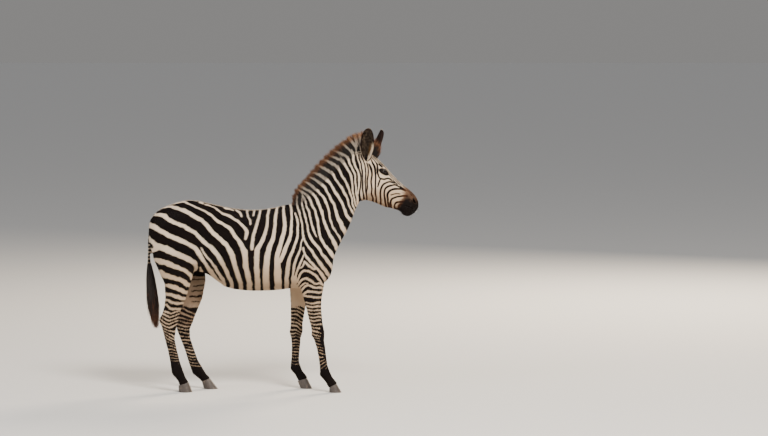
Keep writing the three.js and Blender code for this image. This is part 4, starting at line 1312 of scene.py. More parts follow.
def units(vectors):
    return vectors / np.maximum(np.linalg.norm(vectors, axis=1, keepdims=True), 1e-9)


def closed_tube(path, radii, sides=10):
    """A closed ring of tube along a closed path of points."""
    count = len(path)
    ahead = units(np.roll(path, -1, axis=0) - np.roll(path, 1, axis=0))
    out = units(path - path.mean(axis=0))
    out = units(out - ahead * (out * ahead).sum(axis=1, keepdims=True))
    side = np.cross(ahead, out)
    angles = np.arange(sides) * 2 * math.pi / sides
    cos, sin = np.cos(angles)[None, :, None], np.sin(angles)[None, :, None]
    around = cos * out[:, None] + sin * side[:, None]
    points = (path[:, None] + around * radii[:, None, None]).reshape(-1, 3)
    faces = []
    for i in range(count):
        for j in range(sides):
            a, b = i * sides + j, i * sides + (j + 1) % sides
            c, d = (i + 1) % count * sides + j, (i + 1) % count * sides + (j + 1) % sides
            faces += [[a, d, c], [a, b, d]]
    return points, np.array(faces)


def lid_rim(sign):
    turn = np.linspace(0, 2 * math.pi, 72, endpoint=False)
    share = np.cos(turn)
    over, under = almond(share)
    q = np.where(np.sin(turn) >= 0, over, -under) * 1.02
    path = eye_point(share * ALMOND_HALF * 1.02, q, EYE_RADIUS + 0.0012, sign)
    radii = 0.0013 + 0.0007 * np.clip(np.sin(turn), 0, 1)
    points, faces = closed_tube(path, radii)
    return points, faces if sign > 0 else faces[:, ::-1]


rims = mesh_of_triangles("lid_rims", *merged([lid_rim(sign) for sign in SIDES.values()]))
rims.shade_smooth()
handed_in("lid_rims", rims, own_material("bare lid", (0.007, 0.004, 0.003), 0.45, 0.22), "muzzle")

# %% [markdown]
# Lashes, feelers and the long hairs at the rim of the ear are single hairs, thick enough to be seen but too
# few to hide anything. They are strands of the same kind as the locks of mane and tail, only much thinner.
# Each strand also gets a small patch on a chart of the piece, at its root's place there.

# %% Lashes
LASHES, LIP_FEELERS, EYE_FEELERS = 46, 90, 9  # the lashes are those of one eye


def strands(roots, ways, bends, lengths, widths, across, thin=0.5, steps=4, sides=3, taper=1.6):
    """Tapered strands. Each leaves its root along its way, and bends more and more towards its tip."""
    count = len(roots)
    shares = np.arange(steps) / steps
    centres = roots[:, None] + lengths[:, None, None] * (
        ways[:, None] * shares[None, :, None] + bends[:, None] * (shares**2)[None, :, None])
    tips = roots + lengths[:, None] * (ways + bends)
    side = units(across - ways * (across * ways).sum(axis=1, keepdims=True))
    out = np.cross(ways, side)
    angles = np.arange(sides) * 2 * math.pi / sides + math.pi / 2
    cos, sin = np.cos(angles)[None, :, None], thin * np.sin(angles)[None, :, None]
    ring = cos * side[:, None] + sin * out[:, None]
    thickness = widths[:, None] / 2 * (1 - shares[None] ** taper)
    body = centres[:, :, None] + ring[:, None] * thickness[:, :, None, None]
    points = np.concatenate([body.reshape(count, -1, 3), tips[:, None]], axis=1)
    faces = [[0, k + 1, k] for k in range(1, sides - 1)] + ring_faces(steps, sides)
    last = (steps - 1) * sides
    faces += [[last + j, last + (j + 1) % sides, steps * sides] for j in range(sides)]
    size = steps * sides + 1
    every = np.array(faces)[None] + (np.arange(count) * size)[:, None, None]
    share = np.append(np.repeat(shares, sides), 1.0)
    return points.reshape(-1, 3), every.reshape(-1, 3), np.tile(share, count)


def lashes(sign, chance, count=LASHES):
    share = np.linspace(-0.8, 0.85, count) + chance.uniform(-0.01, 0.01, count)
    over, _ = almond(share)
    along, up, out = (axis * [1, sign, 1] for axis in eye_axes())
    roots = eye_point(share * ALMOND_HALF, over + 0.0010, EYE_RADIUS + 0.0022, sign)
    ways = units(np.outer(np.full(count, 0.95), out) + np.outer(0.55 * share, along) - 0.25 * up)
    bends = np.tile(0.30 * up - 0.1 * out, (count, 1))
    lengths = chance.uniform(0.010, 0.015, count) * (1 - 0.35 * share**2)
    return strands(roots, ways, bends, lengths, np.full(count, 0.00055), np.tile(along, (count, 1)), 1.0)


chance = np.random.default_rng(11)
single_hairs = [lashes(sign, chance) for sign in SIDES.values()]
print("lashes:", LASHES, "over each eye")


# %% Feelers
def feelers(chance):
    """Stiff hairs on lips and chin, and a few below the eyes."""
    normals = normals_of(skin_mesh)
    z = skin_points[:, 2]
    lips = (down_face(skin_points) > 0.24) & (z < 1.225)
    lips &= (headness(skin_points) > 0.9) & (normals[:, 0] < 0.95)
    below_eye = np.abs(away(skin_points, EYE + [0.004, 0, -0.028]) - 0.006) < 0.005
    places = ((lips, LIP_FEELERS), (below_eye, EYE_FEELERS))
    picks = np.concatenate([chance.choice(np.flatnonzero(own), number) for own, number in places])
    count = len(picks)
    ways = units(normals[picks] + chance.normal(0, 0.25, (count, 3)) + [0.1, 0, -0.35])
    lengths = chance.uniform(0.014, 0.038, count) * np.where(np.arange(count) < LIP_FEELERS, 1.0, 0.5)
    bends = np.tile([0.0, 0.0, -0.25], (count, 1))
    across = units(np.cross(ways, [0, 0, 1]))
    return strands(skin_points[picks], ways, bends, lengths, np.full(count, 0.0005), across, 1.0)


single_hairs.append(feelers(chance))
hair_mesh = mesh_of_triangles("lashes", *merged(single_hairs))
print("feelers:", LIP_FEELERS, "on the lips and", EYE_FEELERS, "below the eyes")

# %% A chart for the hairs
PATCH = 0.003  # how wide each hair's patch is on the chart
HEAD_AXIS = (np.array([0.53, 1.43]), np.array([0.88, 1.20]))


def add_chart(mesh, places):
    layer = mesh.uv_layers.new(name="OFBake")
    corners = rows_of(mesh.loops, "vertex_index", 1)[:, 0]
    layer.uv.foreach_set("vector", places[corners].astype(np.float32).ravel())


def lock_patches(centres, shares, sides):
    """Every hair as seen from its tip: its rings about one another, its tip in the middle of its patch."""
    each = len(shares) // len(centres)
    angle = np.append(np.arange(each - 1) % sides, 0) * 2 * math.pi / sides
    reach = PATCH / 2 * (1 - shares[:each])
    offset = np.stack([np.cos(angle), np.sin(angle)], axis=1) * reach[:, None]
    return (centres[:, None] + offset[None]).reshape(-1, 2)


def within(values, low, high):
    """Values from low to high, drawn to the middle 98 hundredths of the chart."""
    return 0.01 + 0.98 * np.clip((values - low) / (high - low), 0, 1)


def axis_chart(points, start, end):
    """Along an axis in the side view, and round it, for one side of the animal."""
    along = unit(end - start)
    local = points[:, [0, 2]] - start
    run = local @ along
    rise = local @ np.array([-along[1], along[0]])
    return run, np.arctan2(rise, np.abs(points[:, 1]))


hair_roots = points_of(hair_mesh)[::len(single_hairs[0][2]) // LASHES]
run, turn = axis_chart(hair_roots, *HEAD_AXIS)
halves = within(turn, -1.6, 1.6) / 2 + np.where(hair_roots[:, 1] > 0, 0.5, 0)
centres = np.stack([within(run, 0, 0.5), halves], axis=1)
add_chart(hair_mesh, lock_patches(centres, np.concatenate([hairs[2] for hairs in single_hairs]), 3))
STIFF_HAIR = own_material("stiff black hair", (0.012, 0.009, 0.008), 0.4)
handed_in("lashes_and_feelers", hair_mesh, STIFF_HAIR, "mane")

# %% [markdown]
# ## Ears
#
# A zebra's ear is a leaf of gristle rolled into a cup: nearly a tube at the root, open towards its rounded
# tip. The same rule that sizes the plain ear is used here with far more rows. The back of the ear is black
# and white, the cup is dark with pale hair growing from its edges, and the rim is dark towards the tip.

# %% Shape of the ears
EAR_LENGTH, EAR_HALF_WIDTH, EAR_SET_BACK = 0.205, 0.046, 0.020
EAR_COAT, EAR_THICKNESS = 0.0010, 0.0030
EAR_BURIED = 0.11  # the share of its length that runs on into the head


def ear_width(share):
    swelling = np.sin(math.pi * np.minimum(0.5, share * 0.95))
    return EAR_HALF_WIDTH * (0.44 + 0.56 * swelling) * np.sqrt(np.clip(1 - share**5, 0, 1))


def ear_point(share, around, inset):
    """A point of the ear: share of its length, place around the cup from -1 to 1, depth under its back."""
    roll = np.radians(150 - 88 * np.sqrt(np.clip(share * 1.6, 0, 1)))
    radius = ear_width(share) / np.sin(np.minimum(roll, math.pi / 2))
    inner = radius - np.minimum(inset, radius * 0.4)
    across, ahead = inner * np.sin(roll * around), radius - EAR_SET_BACK - inner * np.cos(roll * around)
    return np.stack([across, ahead, share * EAR_LENGTH], axis=-1)


def ear_pose(side):
    root, tip, opens = EARS[side]
    root, tip = np.array(root) / 1000 + [SHIFT, 0, 0], np.array(tip) / 1000 + [SHIFT, 0, 0]
    up = unit(tip - root)
    facing = unit(heading(opens) - up * (heading(opens) @ up))
    return root, np.stack([np.cross(facing, up), facing, up])


def placed_ear(local, side):
    root, axes = ear_pose(side)
    return local @ axes + root


def ear_mesh(side, rows=64, columns=40):
    along, across = np.linspace(-EAR_BURIED, 0.988, rows + 1), np.linspace(-1, 1, columns + 1)
    share, around = np.meshgrid(along, across, indexing="ij")
    ripple = 0.0006 * np.sin(around * 9 + share * 5) * np.sin(share * math.pi)
    sheets = [ear_point(share, around, EAR_COAT + ripple), ear_point(share, around, EAR_THICKNESS + ripple)]
    points = np.concatenate([sheet.reshape(-1, 3) for sheet in sheets])
    index = np.arange((rows + 1) * (columns + 1)).reshape(rows + 1, columns + 1)
    low, high = index[:-1], index[1:]
    a, b, c, d = low[:, :-1].ravel(), low[:, 1:].ravel(), high[:, 1:].ravel(), high[:, :-1].ravel()
    outer = np.concatenate([np.stack([a, b, c], 1), np.stack([a, c, d], 1)])
    faces = [outer, outer[:, ::-1] + index.size]
    rim = np.concatenate([index[0], index[1:, -1], index[-1, -2::-1], index[-2:0:-1, 0]])
    after = np.roll(rim, -1)
    faces.append(np.stack([rim, after + index.size, after], 1))
    faces.append(np.stack([rim, rim + index.size, after + index.size], 1))
    mesh = mesh_of_triangles(f"ear_{side}_skin", placed_ear(points, side), np.vstack(faces))
    paint(mesh, "share", np.tile(share.ravel(), 2))
    paint(mesh, "around", np.tile(np.abs(around.ravel()), 2))
    paint(mesh, "medial", np.tile(around.ravel() * SIDES[side], 2))
    paint(mesh, "inside", np.repeat([0.0, 1.0], index.size))
    mesh.shade_smooth()
    return mesh


EAR_MESHES = {side: ear_mesh(side) for side in SIDES}
print("ears:", [len(mesh.vertices) for mesh in EAR_MESHES.values()], "points")

# %% Colours of the ears
EAR_DARK, EAR_PALE = (0.014, 0.006, 0.004), (0.62, 0.50, 0.37)
EAR_DEEP, EAR_GREY, EAR_OCHRE = (0.010, 0.006, 0.004), (0.095, 0.068, 0.046), (0.16, 0.075, 0.020)


def ear_colour(tree, place):
    share, around, inside, medial = (carried(tree, name) for name in ("share", "around", "inside", "medial"))
    back = colour_mix(tree, eased(tree, share, 0.36, 0.44), EAR_PALE, EAR_DARK)
    back = colour_mix(tree, eased(tree, share, 0.955, 0.985), back, EAR_PALE)
    mottled = eased(tree, noise(tree, place, 75.0, 3.0), 0.38, 0.66)
    greyer = value_of(tree, "MULTIPLY", eased(tree, around, 0.05, 0.65, 0.25, 1.0), mottled)
    cup = colour_mix(tree, greyer, EAR_DEEP, EAR_GREY)
    near_root = eased(tree, share, 0.25, 0.60, 0.75, 0.0)
    low = value_of(tree, "MULTIPLY", eased(tree, medial, 0.05, 0.45), near_root)
    cup = colour_mix(tree, low, cup, EAR_OCHRE)
    rim = value_of(tree, "MAXIMUM", eased(tree, around, 0.84, 0.93), eased(tree, share, 0.89, 0.95))
    cup = colour_mix(tree, rim, cup, EAR_DARK)
    lower_half = eased(tree, share, 0.40, 0.60, 1.0, 0.0)
    edge = value_of(tree, "MULTIPLY", eased(tree, medial, 0.76, 0.86), lower_half)
    cup = colour_mix(tree, edge, cup, EAR_PALE)
    return colour_mix(tree, inside, back, cup)


def ear_material():
    material = own_material("ear skin and down", EAR_PALE, 0.75, 0.12)
    tree = material.node_tree
    place = own_place(tree)
    tree.links.new(ear_colour(tree, place), tree.nodes["Principled BSDF"].inputs["Base Color"])
    hair_bump(tree, streaks(tree, place, (620.0, 620.0, 140.0)), 0.5)
    return material


EAR_MATERIAL = ear_material()
for side in SIDES:
    handed_in(f"ear_{side}_skin", EAR_MESHES[side], EAR_MATERIAL, "ear", f"ear_{side}")


# %% Hair of the ears
def ear_hair(side, chance, inner=2200, outer=3400):
    """Hair from both edges into the cup and down in its middle, and a short pile over the back."""
    edge = chance.choice([-1, 1], inner) * chance.uniform(0.0, 1.0, inner) ** 0.55 * 0.99
    share = chance.uniform(-0.03, 0.93, inner)
    roots = ear_point(share, edge, EAR_THICKNESS)
    middle = ear_point(share, edge * 0.4, EAR_THICKNESS + 0.012)
    ways = units(units(middle - roots) + [0, 0.35, 1.1] + chance.normal(0, 0.22, (inner, 3)))
    lengths = chance.uniform(0.012, 0.026, inner) * (1 - 0.45 * share) * (0.55 + 0.45 * np.abs(edge))
    widths = chance.uniform(0.0006, 0.0012, inner)
    bends, flat = np.tile([0, 0.15, 0.2], (inner, 1)), units(np.cross(ways, [0, 1, 0]))
    inside = strands(roots, ways, bends, lengths, widths, flat)
    share_out, around = chance.uniform(0.0, 0.97, outer), chance.uniform(-1, 1, outer)
    back = ear_point(share_out, around, EAR_COAT + 0.0003)
    above = ear_point(np.minimum(share_out + 0.02, 0.99), around, EAR_COAT)
    outward = units(ear_point(share_out, around, 0.0) - ear_point(share_out, around, EAR_THICKNESS))
    ways_out = units(units(above - back) + 0.10 * outward)
    pile = strands(back, ways_out, 0 * back, chance.uniform(0.006, 0.009, outer), np.full(outer, 0.0016),
                   units(np.cross(ways_out, outward)), 0.25, 2)
    points, faces = merged([inside, pile])
    mesh = mesh_of_triangles(f"ear_hair_{side}", placed_ear(points, side), faces)
    values = []
    for own, (_, _, shares) in zip(((share, edge, 1.0), (share_out, around, 0.0)), (inside, pile)):
        along, place = (np.repeat(column, len(shares) // len(column)) for column in own[:2])
        values.append([along, np.abs(place), place * SIDES[side], np.full(len(shares), own[2])])
    for name, column in zip(("share", "around", "medial", "inside"), np.hstack(values)):
        paint(mesh, name, column)
    cup = np.stack([within(share, -0.05, 1) / 2, within(edge, -1, 1)], axis=1)
    outside_back = np.stack([0.5 + within(share_out, 0, 1) / 2, within(around, -1, 1)], axis=1)
    add_chart(mesh, np.vstack([lock_patches(cup, inside[2], 3), lock_patches(outside_back, pile[2], 3)]))
    return mesh


for side in SIDES:
    handed_in(f"ear_hair_{side}", ear_hair(side, np.random.default_rng(21)), EAR_MATERIAL, "ear")

# %% [markdown]
# ## Hooves
#
# Each hoof is a block of horn that slopes forwards from the hairy crown to a level sole. The plain hoof has
# flat facets, so a round one is made from the same sizes: rings of points from the crown down to the
# ground, with the toe drawn forwards and the heel left upright. Fine ridges run round it, as horn grows.

# %% Four hooves
HOOVES = {  # toe, heel, front and back of the crown with their heights, and place across, in millimetres
    "forehoof_right": (388, 304, (356, 55), (304, 32), -110),
    "forehoof_left": (192, 112, (160, 66), (92, 48), 110),
    "hindhoof_right": (-585, -678, (-608, 62), (-680, 40), -92),
    "hindhoof_left": (-427, -523, (-478, 68), (-536, 46), 92),
}
HALF_SOLE, HALF_CROWN = 0.0375, 0.0315


def hoof_mesh(name, rings=14, around=48):
    toe, heel, (front, front_z), (back, back_z), out = HOOVES[name]
    angles = np.linspace(0, 2 * math.pi, around, endpoint=False)
    forward, side = np.cos(angles), np.sin(angles)
    oval = np.where(forward < 0, 0.88, 1.0)
    rows = []
    for level in np.linspace(0, 1, rings):
        x_front, x_back = toe + (front - toe) * level, heel + (back - heel) * level
        z_front, z_back = front_z * level, back_z * level
        middle, half = (x_front + x_back) / 2, (x_front - x_back) / 2 - 1.0
        width = (HALF_SOLE + (HALF_CROWN - HALF_SOLE) * level) * 1000
        x = middle + half * forward * oval ** 0.3
        y = out + width * np.sign(side) * np.abs(side) ** 0.85
        z = z_back + (z_front - z_back) * (forward + 1) / 2
        rows.append(np.stack([x, y, z], axis=1) / 1000 + [SHIFT, 0, 0])
    sole, crown = rows[0], rows[-1]
    rows.append(crown.mean(axis=0) + (crown - crown.mean(axis=0)) * 0.82 + [0, 0, 0.004])
    rows.insert(0, sole.mean(axis=0) + (sole - sole.mean(axis=0)) * 0.9)
    rows[1] = sole + [0, 0, 0.0015]  # lifts the edge of the sole off the ground
    faces, top = ring_faces(len(rows), around), (len(rows) - 1) * around
    faces += [[0, j + 1, j] for j in range(1, around - 1)]
    faces += [[top, top + j, top + j + 1] for j in range(1, around - 1)]
    return np.vstack(rows), np.array(faces)


HORN_DARK, HORN_LIGHT = (0.040, 0.031, 0.027), (0.070, 0.055, 0.046)
# The last colour on this line is a painted highlight for the front of each hoof.
HORN_DUST, HORN_PAINTED_HIGHLIGHT = (0.14, 0.10, 0.075), (0.42, 0.34, 0.27)


def horn_material():
    material = own_material("horn", (0.2, 0.15, 0.11), 0.5, 0.4)
    tree = material.node_tree
    place = own_place(tree)
    grain = streaks(tree, place, (420.0, 420.0, 30.0))
    rings = streaks(tree, place, (6.0, 6.0, 190.0))
    colour = colour_mix(tree, eased(tree, grain, 0.3, 0.7), HORN_DARK, HORN_LIGHT)
    dusty = colour_mix(tree, eased(tree, noise(tree, place, 40.0), 0.5, 0.85), colour, HORN_DUST)
    # Painted highlight: the front of each hoof is mixed towards a pale colour, as if lit.
    horn = colour_mix(tree, carried(tree, "front"), dusty, HORN_PAINTED_HIGHLIGHT)
    tree.links.new(horn, tree.nodes["Principled BSDF"].inputs["Base Color"])
    hair_bump(tree, value_of(tree, "ADD", rings, value_of(tree, "MULTIPLY", grain, 0.25)), 0.4)
    return material


hoof_points, hoof_faces = merged([hoof_mesh(name) for name in HOOVES])
hooves = mesh_of_triangles("hooves", hoof_points, hoof_faces)
# Painted highlight: strongest where the hoof faces forwards.
paint(hooves, "front", 0.40 * ramp(normals_of(hooves)[:, 0], 0.76, 0.90))
hooves.shade_smooth()
handed_in("hooves", hooves, horn_material(), "horn", *HOOVES)

# %% [markdown]
# ## Mane and tail
#
# A zebra's mane stands up like a brush from the withers to between the ears, striped like the neck below
# it and brown at its tips. It is made of locks, each a thin strand that leans back with its neighbours.
# One could shape the brush as a block with bumps, but its ragged edge against the light would be lost.
# The tail ends in a tuft of long black locks, which swell out and draw together again at the bottom.

# %% The locks of the mane
MANE = np.array([  # x and z of the root, then of the edge above it, from withers to forelock
    (66, 1195, 60, 1234), (100, 1200, 72, 1292), (140, 1240, 98, 1345), (198, 1297, 150, 1402),
    (263, 1360, 212, 1476), (328, 1422, 276, 1544), (386, 1474, 340, 1604), (438, 1520, 404, 1656),
    (484, 1553, 460, 1692), (532, 1560, 524, 1706), (562, 1546, 592, 1668), (584, 1530, 652, 1634),
    (600, 1512, 640, 1572)]) / 1000
MANE_HALF = 0.019
MANE_WIDER = 0.35  # how much wider the white bands are in the mane than on the neck, in sheet units
MANE_LOCKS, MANE_STEPS, LOCK_SIDES = 6200, 5, 3


def mane_locks(chance, count=MANE_LOCKS):
    span = np.append(0, np.cumsum(np.linalg.norm(np.diff(MANE[:, :2], axis=0), axis=1)))
    run = np.sort(chance.uniform(0, span[-1], count))
    lead = 0.034 * (1 - ramp(run, span[8], span[10]))  # how far the roots stand before the tips
    root_x, root_z = (np.interp(run + lead, span, MANE[:, k]) for k in range(2))
    edge_x, edge_z = (np.interp(run, span, MANE[:, k]) for k in (2, 3))
    across = chance.uniform(-1, 1, count)
    crown = np.sqrt(1 - 0.75 * across**2)
    roots = np.stack([root_x + SHIFT, across * MANE_HALF, root_z - 0.004], axis=1)
    strewn = chance.normal(0, 1, (count, 3)) * [0.003, 0.0012, 0.002]
    roots += strewn - np.outer(chance.random(count), [0, 0, 0.012])
    rise = np.stack([edge_x - root_x, 0 * across, edge_z - root_z], axis=1)
    length = np.linalg.norm(rise, axis=1)
    clump = 0.5 + 0.28 * wavy(roots, 0.030, 33) + 0.22 * wavy(roots, 0.011, 34)
    ragged = 0.13 + 0.17 * ramp(run, span[9], span[10])
    lengths = length * (0.84 + 0.16 * crown) * (1.09 - ragged * clump - 0.12 * chance.random(count) ** 2)
    ways = units(rise + chance.normal(0, 0.045, (count, 3)) * length[:, None])
    ways[:, 1] += -0.10 * across
    aside = -0.06 * across + chance.normal(0, 0.03, count)
    lean = np.stack([-0.05 + 0.05 * np.sin(run * 150), aside, -0.01 + 0 * run], axis=1)
    widths = chance.uniform(0.0030, 0.0052, count)
    turn = chance.uniform(-0.9, 0.9, count)
    flat = np.stack([np.cos(turn), np.sin(turn), 0 * turn], axis=1)
    points, faces, shares = strands(roots, units(ways), lean, lengths, widths, flat,
                                    0.45, MANE_STEPS, LOCK_SIDES, 2.4)
    mesh = mesh_of_triangles("mane_locks", points, faces)
    each = MANE_STEPS * LOCK_SIDES + 1
    ink = (outside(BODY_STROKES, on_own_sheet(points)) - MANE_WIDER) / SHEET
    front = np.repeat(ramp(run, span[9], span[10]), each)
    paint(mesh, "ink", np.maximum(ink, 0.004 * front))
    paint(mesh, "share", shares)
    paint(mesh, "browned", front)
    chart = np.stack([within(run, 0, span[-1]), within(across, -1, 1)], axis=1)
    add_chart(mesh, lock_patches(chart, shares, LOCK_SIDES))
    mesh.shade_smooth()
    return mesh


mane_mesh = mane_locks(np.random.default_rng(31))
print("locks of the mane:", MANE_LOCKS)


# %% Colour of the locks
def lock_colour_group():
    """Striped hair that turns to another colour towards its tip."""
    inputs = [("Vector", "Vector")]
    inputs += [(name, "Float") for name in ("Ink", "Share", "Browned", "Tip from", "Tip to")]
    inputs += [(name, "Color") for name in ("Pale", "Black", "Pale tip", "Black tip")]
    tree, given, result = node_group("lock colour", inputs, ("Colour", "Color"))
    place, ink, share, browned, *_ = given.outputs
    frayed = value_of(tree, "MULTIPLY_ADD", noise(tree, place, 210.0), 0.004, -0.002)
    black = eased(tree, value_of(tree, "ADD", ink, frayed), -0.0018, 0.0018)
    ragged = value_of(tree, "MULTIPLY_ADD", noise(tree, place, 120.0), 0.36, -0.18)
    ragged = value_of(tree, "ADD", share, ragged)
    tip = eased(tree, ragged, given.outputs["Tip from"], given.outputs["Tip to"])
    root = colour_mix(tree, black, given.outputs["Pale"], given.outputs["Black"])
    dark = value_of(tree, "MAXIMUM", black, browned)
    ends = colour_mix(tree, dark, given.outputs["Pale tip"], given.outputs["Black tip"])
    streak = eased(tree, streaks(tree, place, (420.0, 420.0, 60.0)), 0.25, 0.8, 0.76, 1.15)
    hue = tree.nodes.new("ShaderNodeHueSaturation")
    tree.links.new(streak, hue.inputs["Value"])
    tree.links.new(colour_mix(tree, tip, root, ends), hue.inputs["Color"])
    tree.links.new(hue.outputs["Color"], result.inputs["Colour"])
    return tree


LOCK_COLOUR = lock_colour_group()


def lock_material(name, pale, black, pale_tip, black_tip, tip_from, tip_to):
    material = own_material(name, pale, 0.55, 0.3)
    tree = material.node_tree
    carries = {label: carried(tree, label) for label in ("ink", "share", "browned")}
    colour = placed_group(
        tree, LOCK_COLOUR, vector=own_place(tree), pale=pale, black=black, pale_tip=pale_tip,
        black_tip=black_tip, tip_from=tip_from, tip_to=tip_to, **carries)
    tree.links.new(colour, tree.nodes["Principled BSDF"].inputs["Base Color"])
    return material


MANE_MATERIAL = lock_material("mane hair", (0.74, 0.62, 0.49), (0.007, 0.004, 0.003),
                              (0.40, 0.20, 0.090), (0.14, 0.055, 0.022), 0.64, 0.90)
handed_in("mane_locks", mane_mesh, MANE_MATERIAL, "mane", "mane")

# %% The tuft of the tail
TAIL_HALF = (  # heights along the tuft, and its half width there
    [0.398, 0.462, 0.530, 0.600, 0.680, 0.755, 0.830],
    [0.006, 0.021, 0.033, 0.037, 0.031, 0.021, 0.014])
TAIL_LOCKS, TAIL_STEPS = 2100, 8


def tail_locks(chance, count=TAIL_LOCKS):
    start = 0.835 - 0.15 * chance.random(count) ** 1.3
    turn = chance.uniform(0, 2 * math.pi, count)
    depth = np.sqrt(chance.random(count))  # 0 in the middle of the tuft and 1 on its outside
    end = 0.402 + 0.22 * chance.random(count) ** 1.3 * (0.25 + 0.75 * depth)
    middle = (start + end) / 2
    first = np.minimum(0.012, np.interp(start, *TAIL_HALF)) * depth
    wide = np.interp(middle, *TAIL_HALF) * depth
    last = np.interp(end, *TAIL_HALF) * depth * 0.8
    leave = 4 * (wide - first) - (last - first)
    bend = 2 * (last - first) - 4 * (wide - first)
    around = np.stack([np.cos(turn), np.sin(turn)], axis=1)
    x_start, x_middle, x_end = (np.interp(z, *TAIL_X) for z in (start, middle, end))
    x_leave = 4 * (x_middle - x_start) - (x_end - x_start)
    x_bend = 2 * (x_end - x_start) - 4 * (x_middle - x_start)
    roots = np.stack([x_start + SHIFT + first * around[:, 0], first * around[:, 1], start], axis=1)
    wild = chance.normal(0, 0.0085, (count, 2))
    ways = np.stack([x_leave + leave * around[:, 0], leave * around[:, 1], end - start], axis=1)
    x_curl, y_curl = x_bend + bend * around[:, 0] + wild[:, 0], bend * around[:, 1] + wild[:, 1]
    bends = np.stack([x_curl, y_curl, 0 * start], axis=1)
    length = np.linalg.norm(ways, axis=1)
    flat = np.stack([-around[:, 1], around[:, 0], 0 * turn], axis=1)
    widths = chance.uniform(0.0028, 0.0056, count)
    points, faces, shares = strands(roots, ways / length[:, None], bends / length[:, None], length,
                                    widths, flat, 0.5, TAIL_STEPS, LOCK_SIDES, 2.2)
    mesh = mesh_of_triangles("tail_locks", points, faces)
    each = TAIL_STEPS * LOCK_SIDES + 1
    paint(mesh, "ink", np.full(len(points), 0.01))
    paint(mesh, "share", shares * np.repeat(0.75 + 0.35 * depth * chance.random(count), each))
    paint(mesh, "browned", np.zeros(len(points)))
    chart = np.stack([within(turn, 0, 2 * math.pi), within(start, 0.68, 0.84)], axis=1)
    add_chart(mesh, lock_patches(chart, shares, LOCK_SIDES))
    mesh.shade_smooth()
    return mesh


TAIL_MATERIAL = lock_material("tail hair", (0.3, 0.2, 0.15), (0.013, 0.007, 0.005),
                              (0.15, 0.05, 0.02), (0.15, 0.050, 0.020), 0.62, 0.96)
handed_in("tail_locks", tail_locks(np.random.default_rng(32)), TAIL_MATERIAL, "tail_hair", "tail_tuft")

# %% [markdown]
# ## The coat
#
# Short hair covers everything else. Single hairs are far too fine, so they are gathered in tufts: kites of
# four faces, rooted in the skin and lying along it, each one colour. They overlap like shingles, pointing
# the way the hair lies: back along the trunk, down the legs, down and back on the neck. They are smallest
# on the face and feet. Every tuft asks the stripes for its own colour at the place where it is seen.

# %% The lie of the hair
LIES = [  # place, reach and the way the hair lies there, in metres
    ((-0.20, 1.00), 0.32, (-1.0, 0.0, -0.32)),
    ((-0.70, 1.00), 0.20, (-0.62, 0.0, -0.78)),
    ((0.12, 0.95), 0.20, (-0.60, 0.0, -0.80)),
    ((0.36, 1.20), 0.20, (-0.58, 0.0, -0.81)),
    ((0.56, 1.34), 0.08, (-0.50, 0.0, -0.86)),
    ((0.64, 1.48), 0.05, (-0.35, 0.0, 0.94)),
    ((0.76, 1.30), 0.12, (0.62, 0.0, -0.78)),
    ((0.20, 0.45), 0.22, (-0.10, 0.0, -1.0)),
    ((-0.66, 0.45), 0.22, (-0.10, 0.0, -1.0)),
    ((-0.87, 0.95), 0.06, (0.0, 0.0, -1.0)),
]


def lie_of(points, normals):
    total = np.zeros_like(points)
    for (x, z), reach, way in LIES:
        near = np.exp(-((points[:, 0] - x) ** 2 + (points[:, 2] - z) ** 2) / reach**2) + 1e-6
        total += near[:, None] * np.array(way)
    total = units(total) + 0.10 * np.stack([wavy(points, 0.09, seed) for seed in (41, 42, 43)], axis=1)
    return units(total - normals * (total * normals).sum(axis=1, keepdims=True))


print("places that steer the hair:", len(LIES))

# %% Where tufts grow
TUFTS_APART = (0.0042, 0.0031, 0.0021)  # on body, feet and face, in metres
BARE_ROUND_EYE, BARE_ROUND_NOSTRIL = 0.021, 0.009


def footness(points):
    return 1 - ramp(points[:, 2], 0.10, 0.62)


def by_region(points, body, foot, face):
    """A value that changes softly between body, feet and face."""
    mixed = body + (foot - body) * footness(points)
    return mixed + (face - mixed) * headness(points)


skin_mesh.calc_loop_triangles()
skin_triangles = rows_of(skin_mesh.loop_triangles, "vertices", 3)
corners = skin_points[skin_triangles]
first, second = corners[:, 1] - corners[:, 0], corners[:, 2] - corners[:, 0]
areas = np.linalg.norm(np.cross(first, second), axis=1) / 2
bare = (away(skin_points, EYE) < BARE_ROUND_EYE) | (away(skin_points, NOSTRIL) < BARE_ROUND_NOSTRIL)
wanted = areas / by_region(corners.mean(axis=1), *TUFTS_APART) ** 2 * ~bare[skin_triangles].any(axis=1)
chance = np.random.default_rng(51)
reached = np.cumsum(wanted)
owners = np.searchsorted(reached, np.arange(int(reached[-1])) + chance.random(int(reached[-1])))
owners = np.minimum(owners, len(skin_triangles) - 1)
share_a, share_b = chance.random((2, len(owners)))
folded = share_a + share_b > 1
share_a, share_b = np.where(folded, 1 - share_a, share_a), np.where(folded, 1 - share_b, share_b)
weights = np.stack([1 - share_a - share_b, share_a, share_b], axis=1)[:, :, None]
roots = (corners[owners] * weights).sum(axis=1)
outs = units((normals_of(skin_mesh)[skin_triangles[owners]] * weights).sum(axis=1))
lies = lie_of(roots, outs)
print("tufts:", f"{len(roots):,}", "on", round(float(areas.sum()), 2), "square metres")

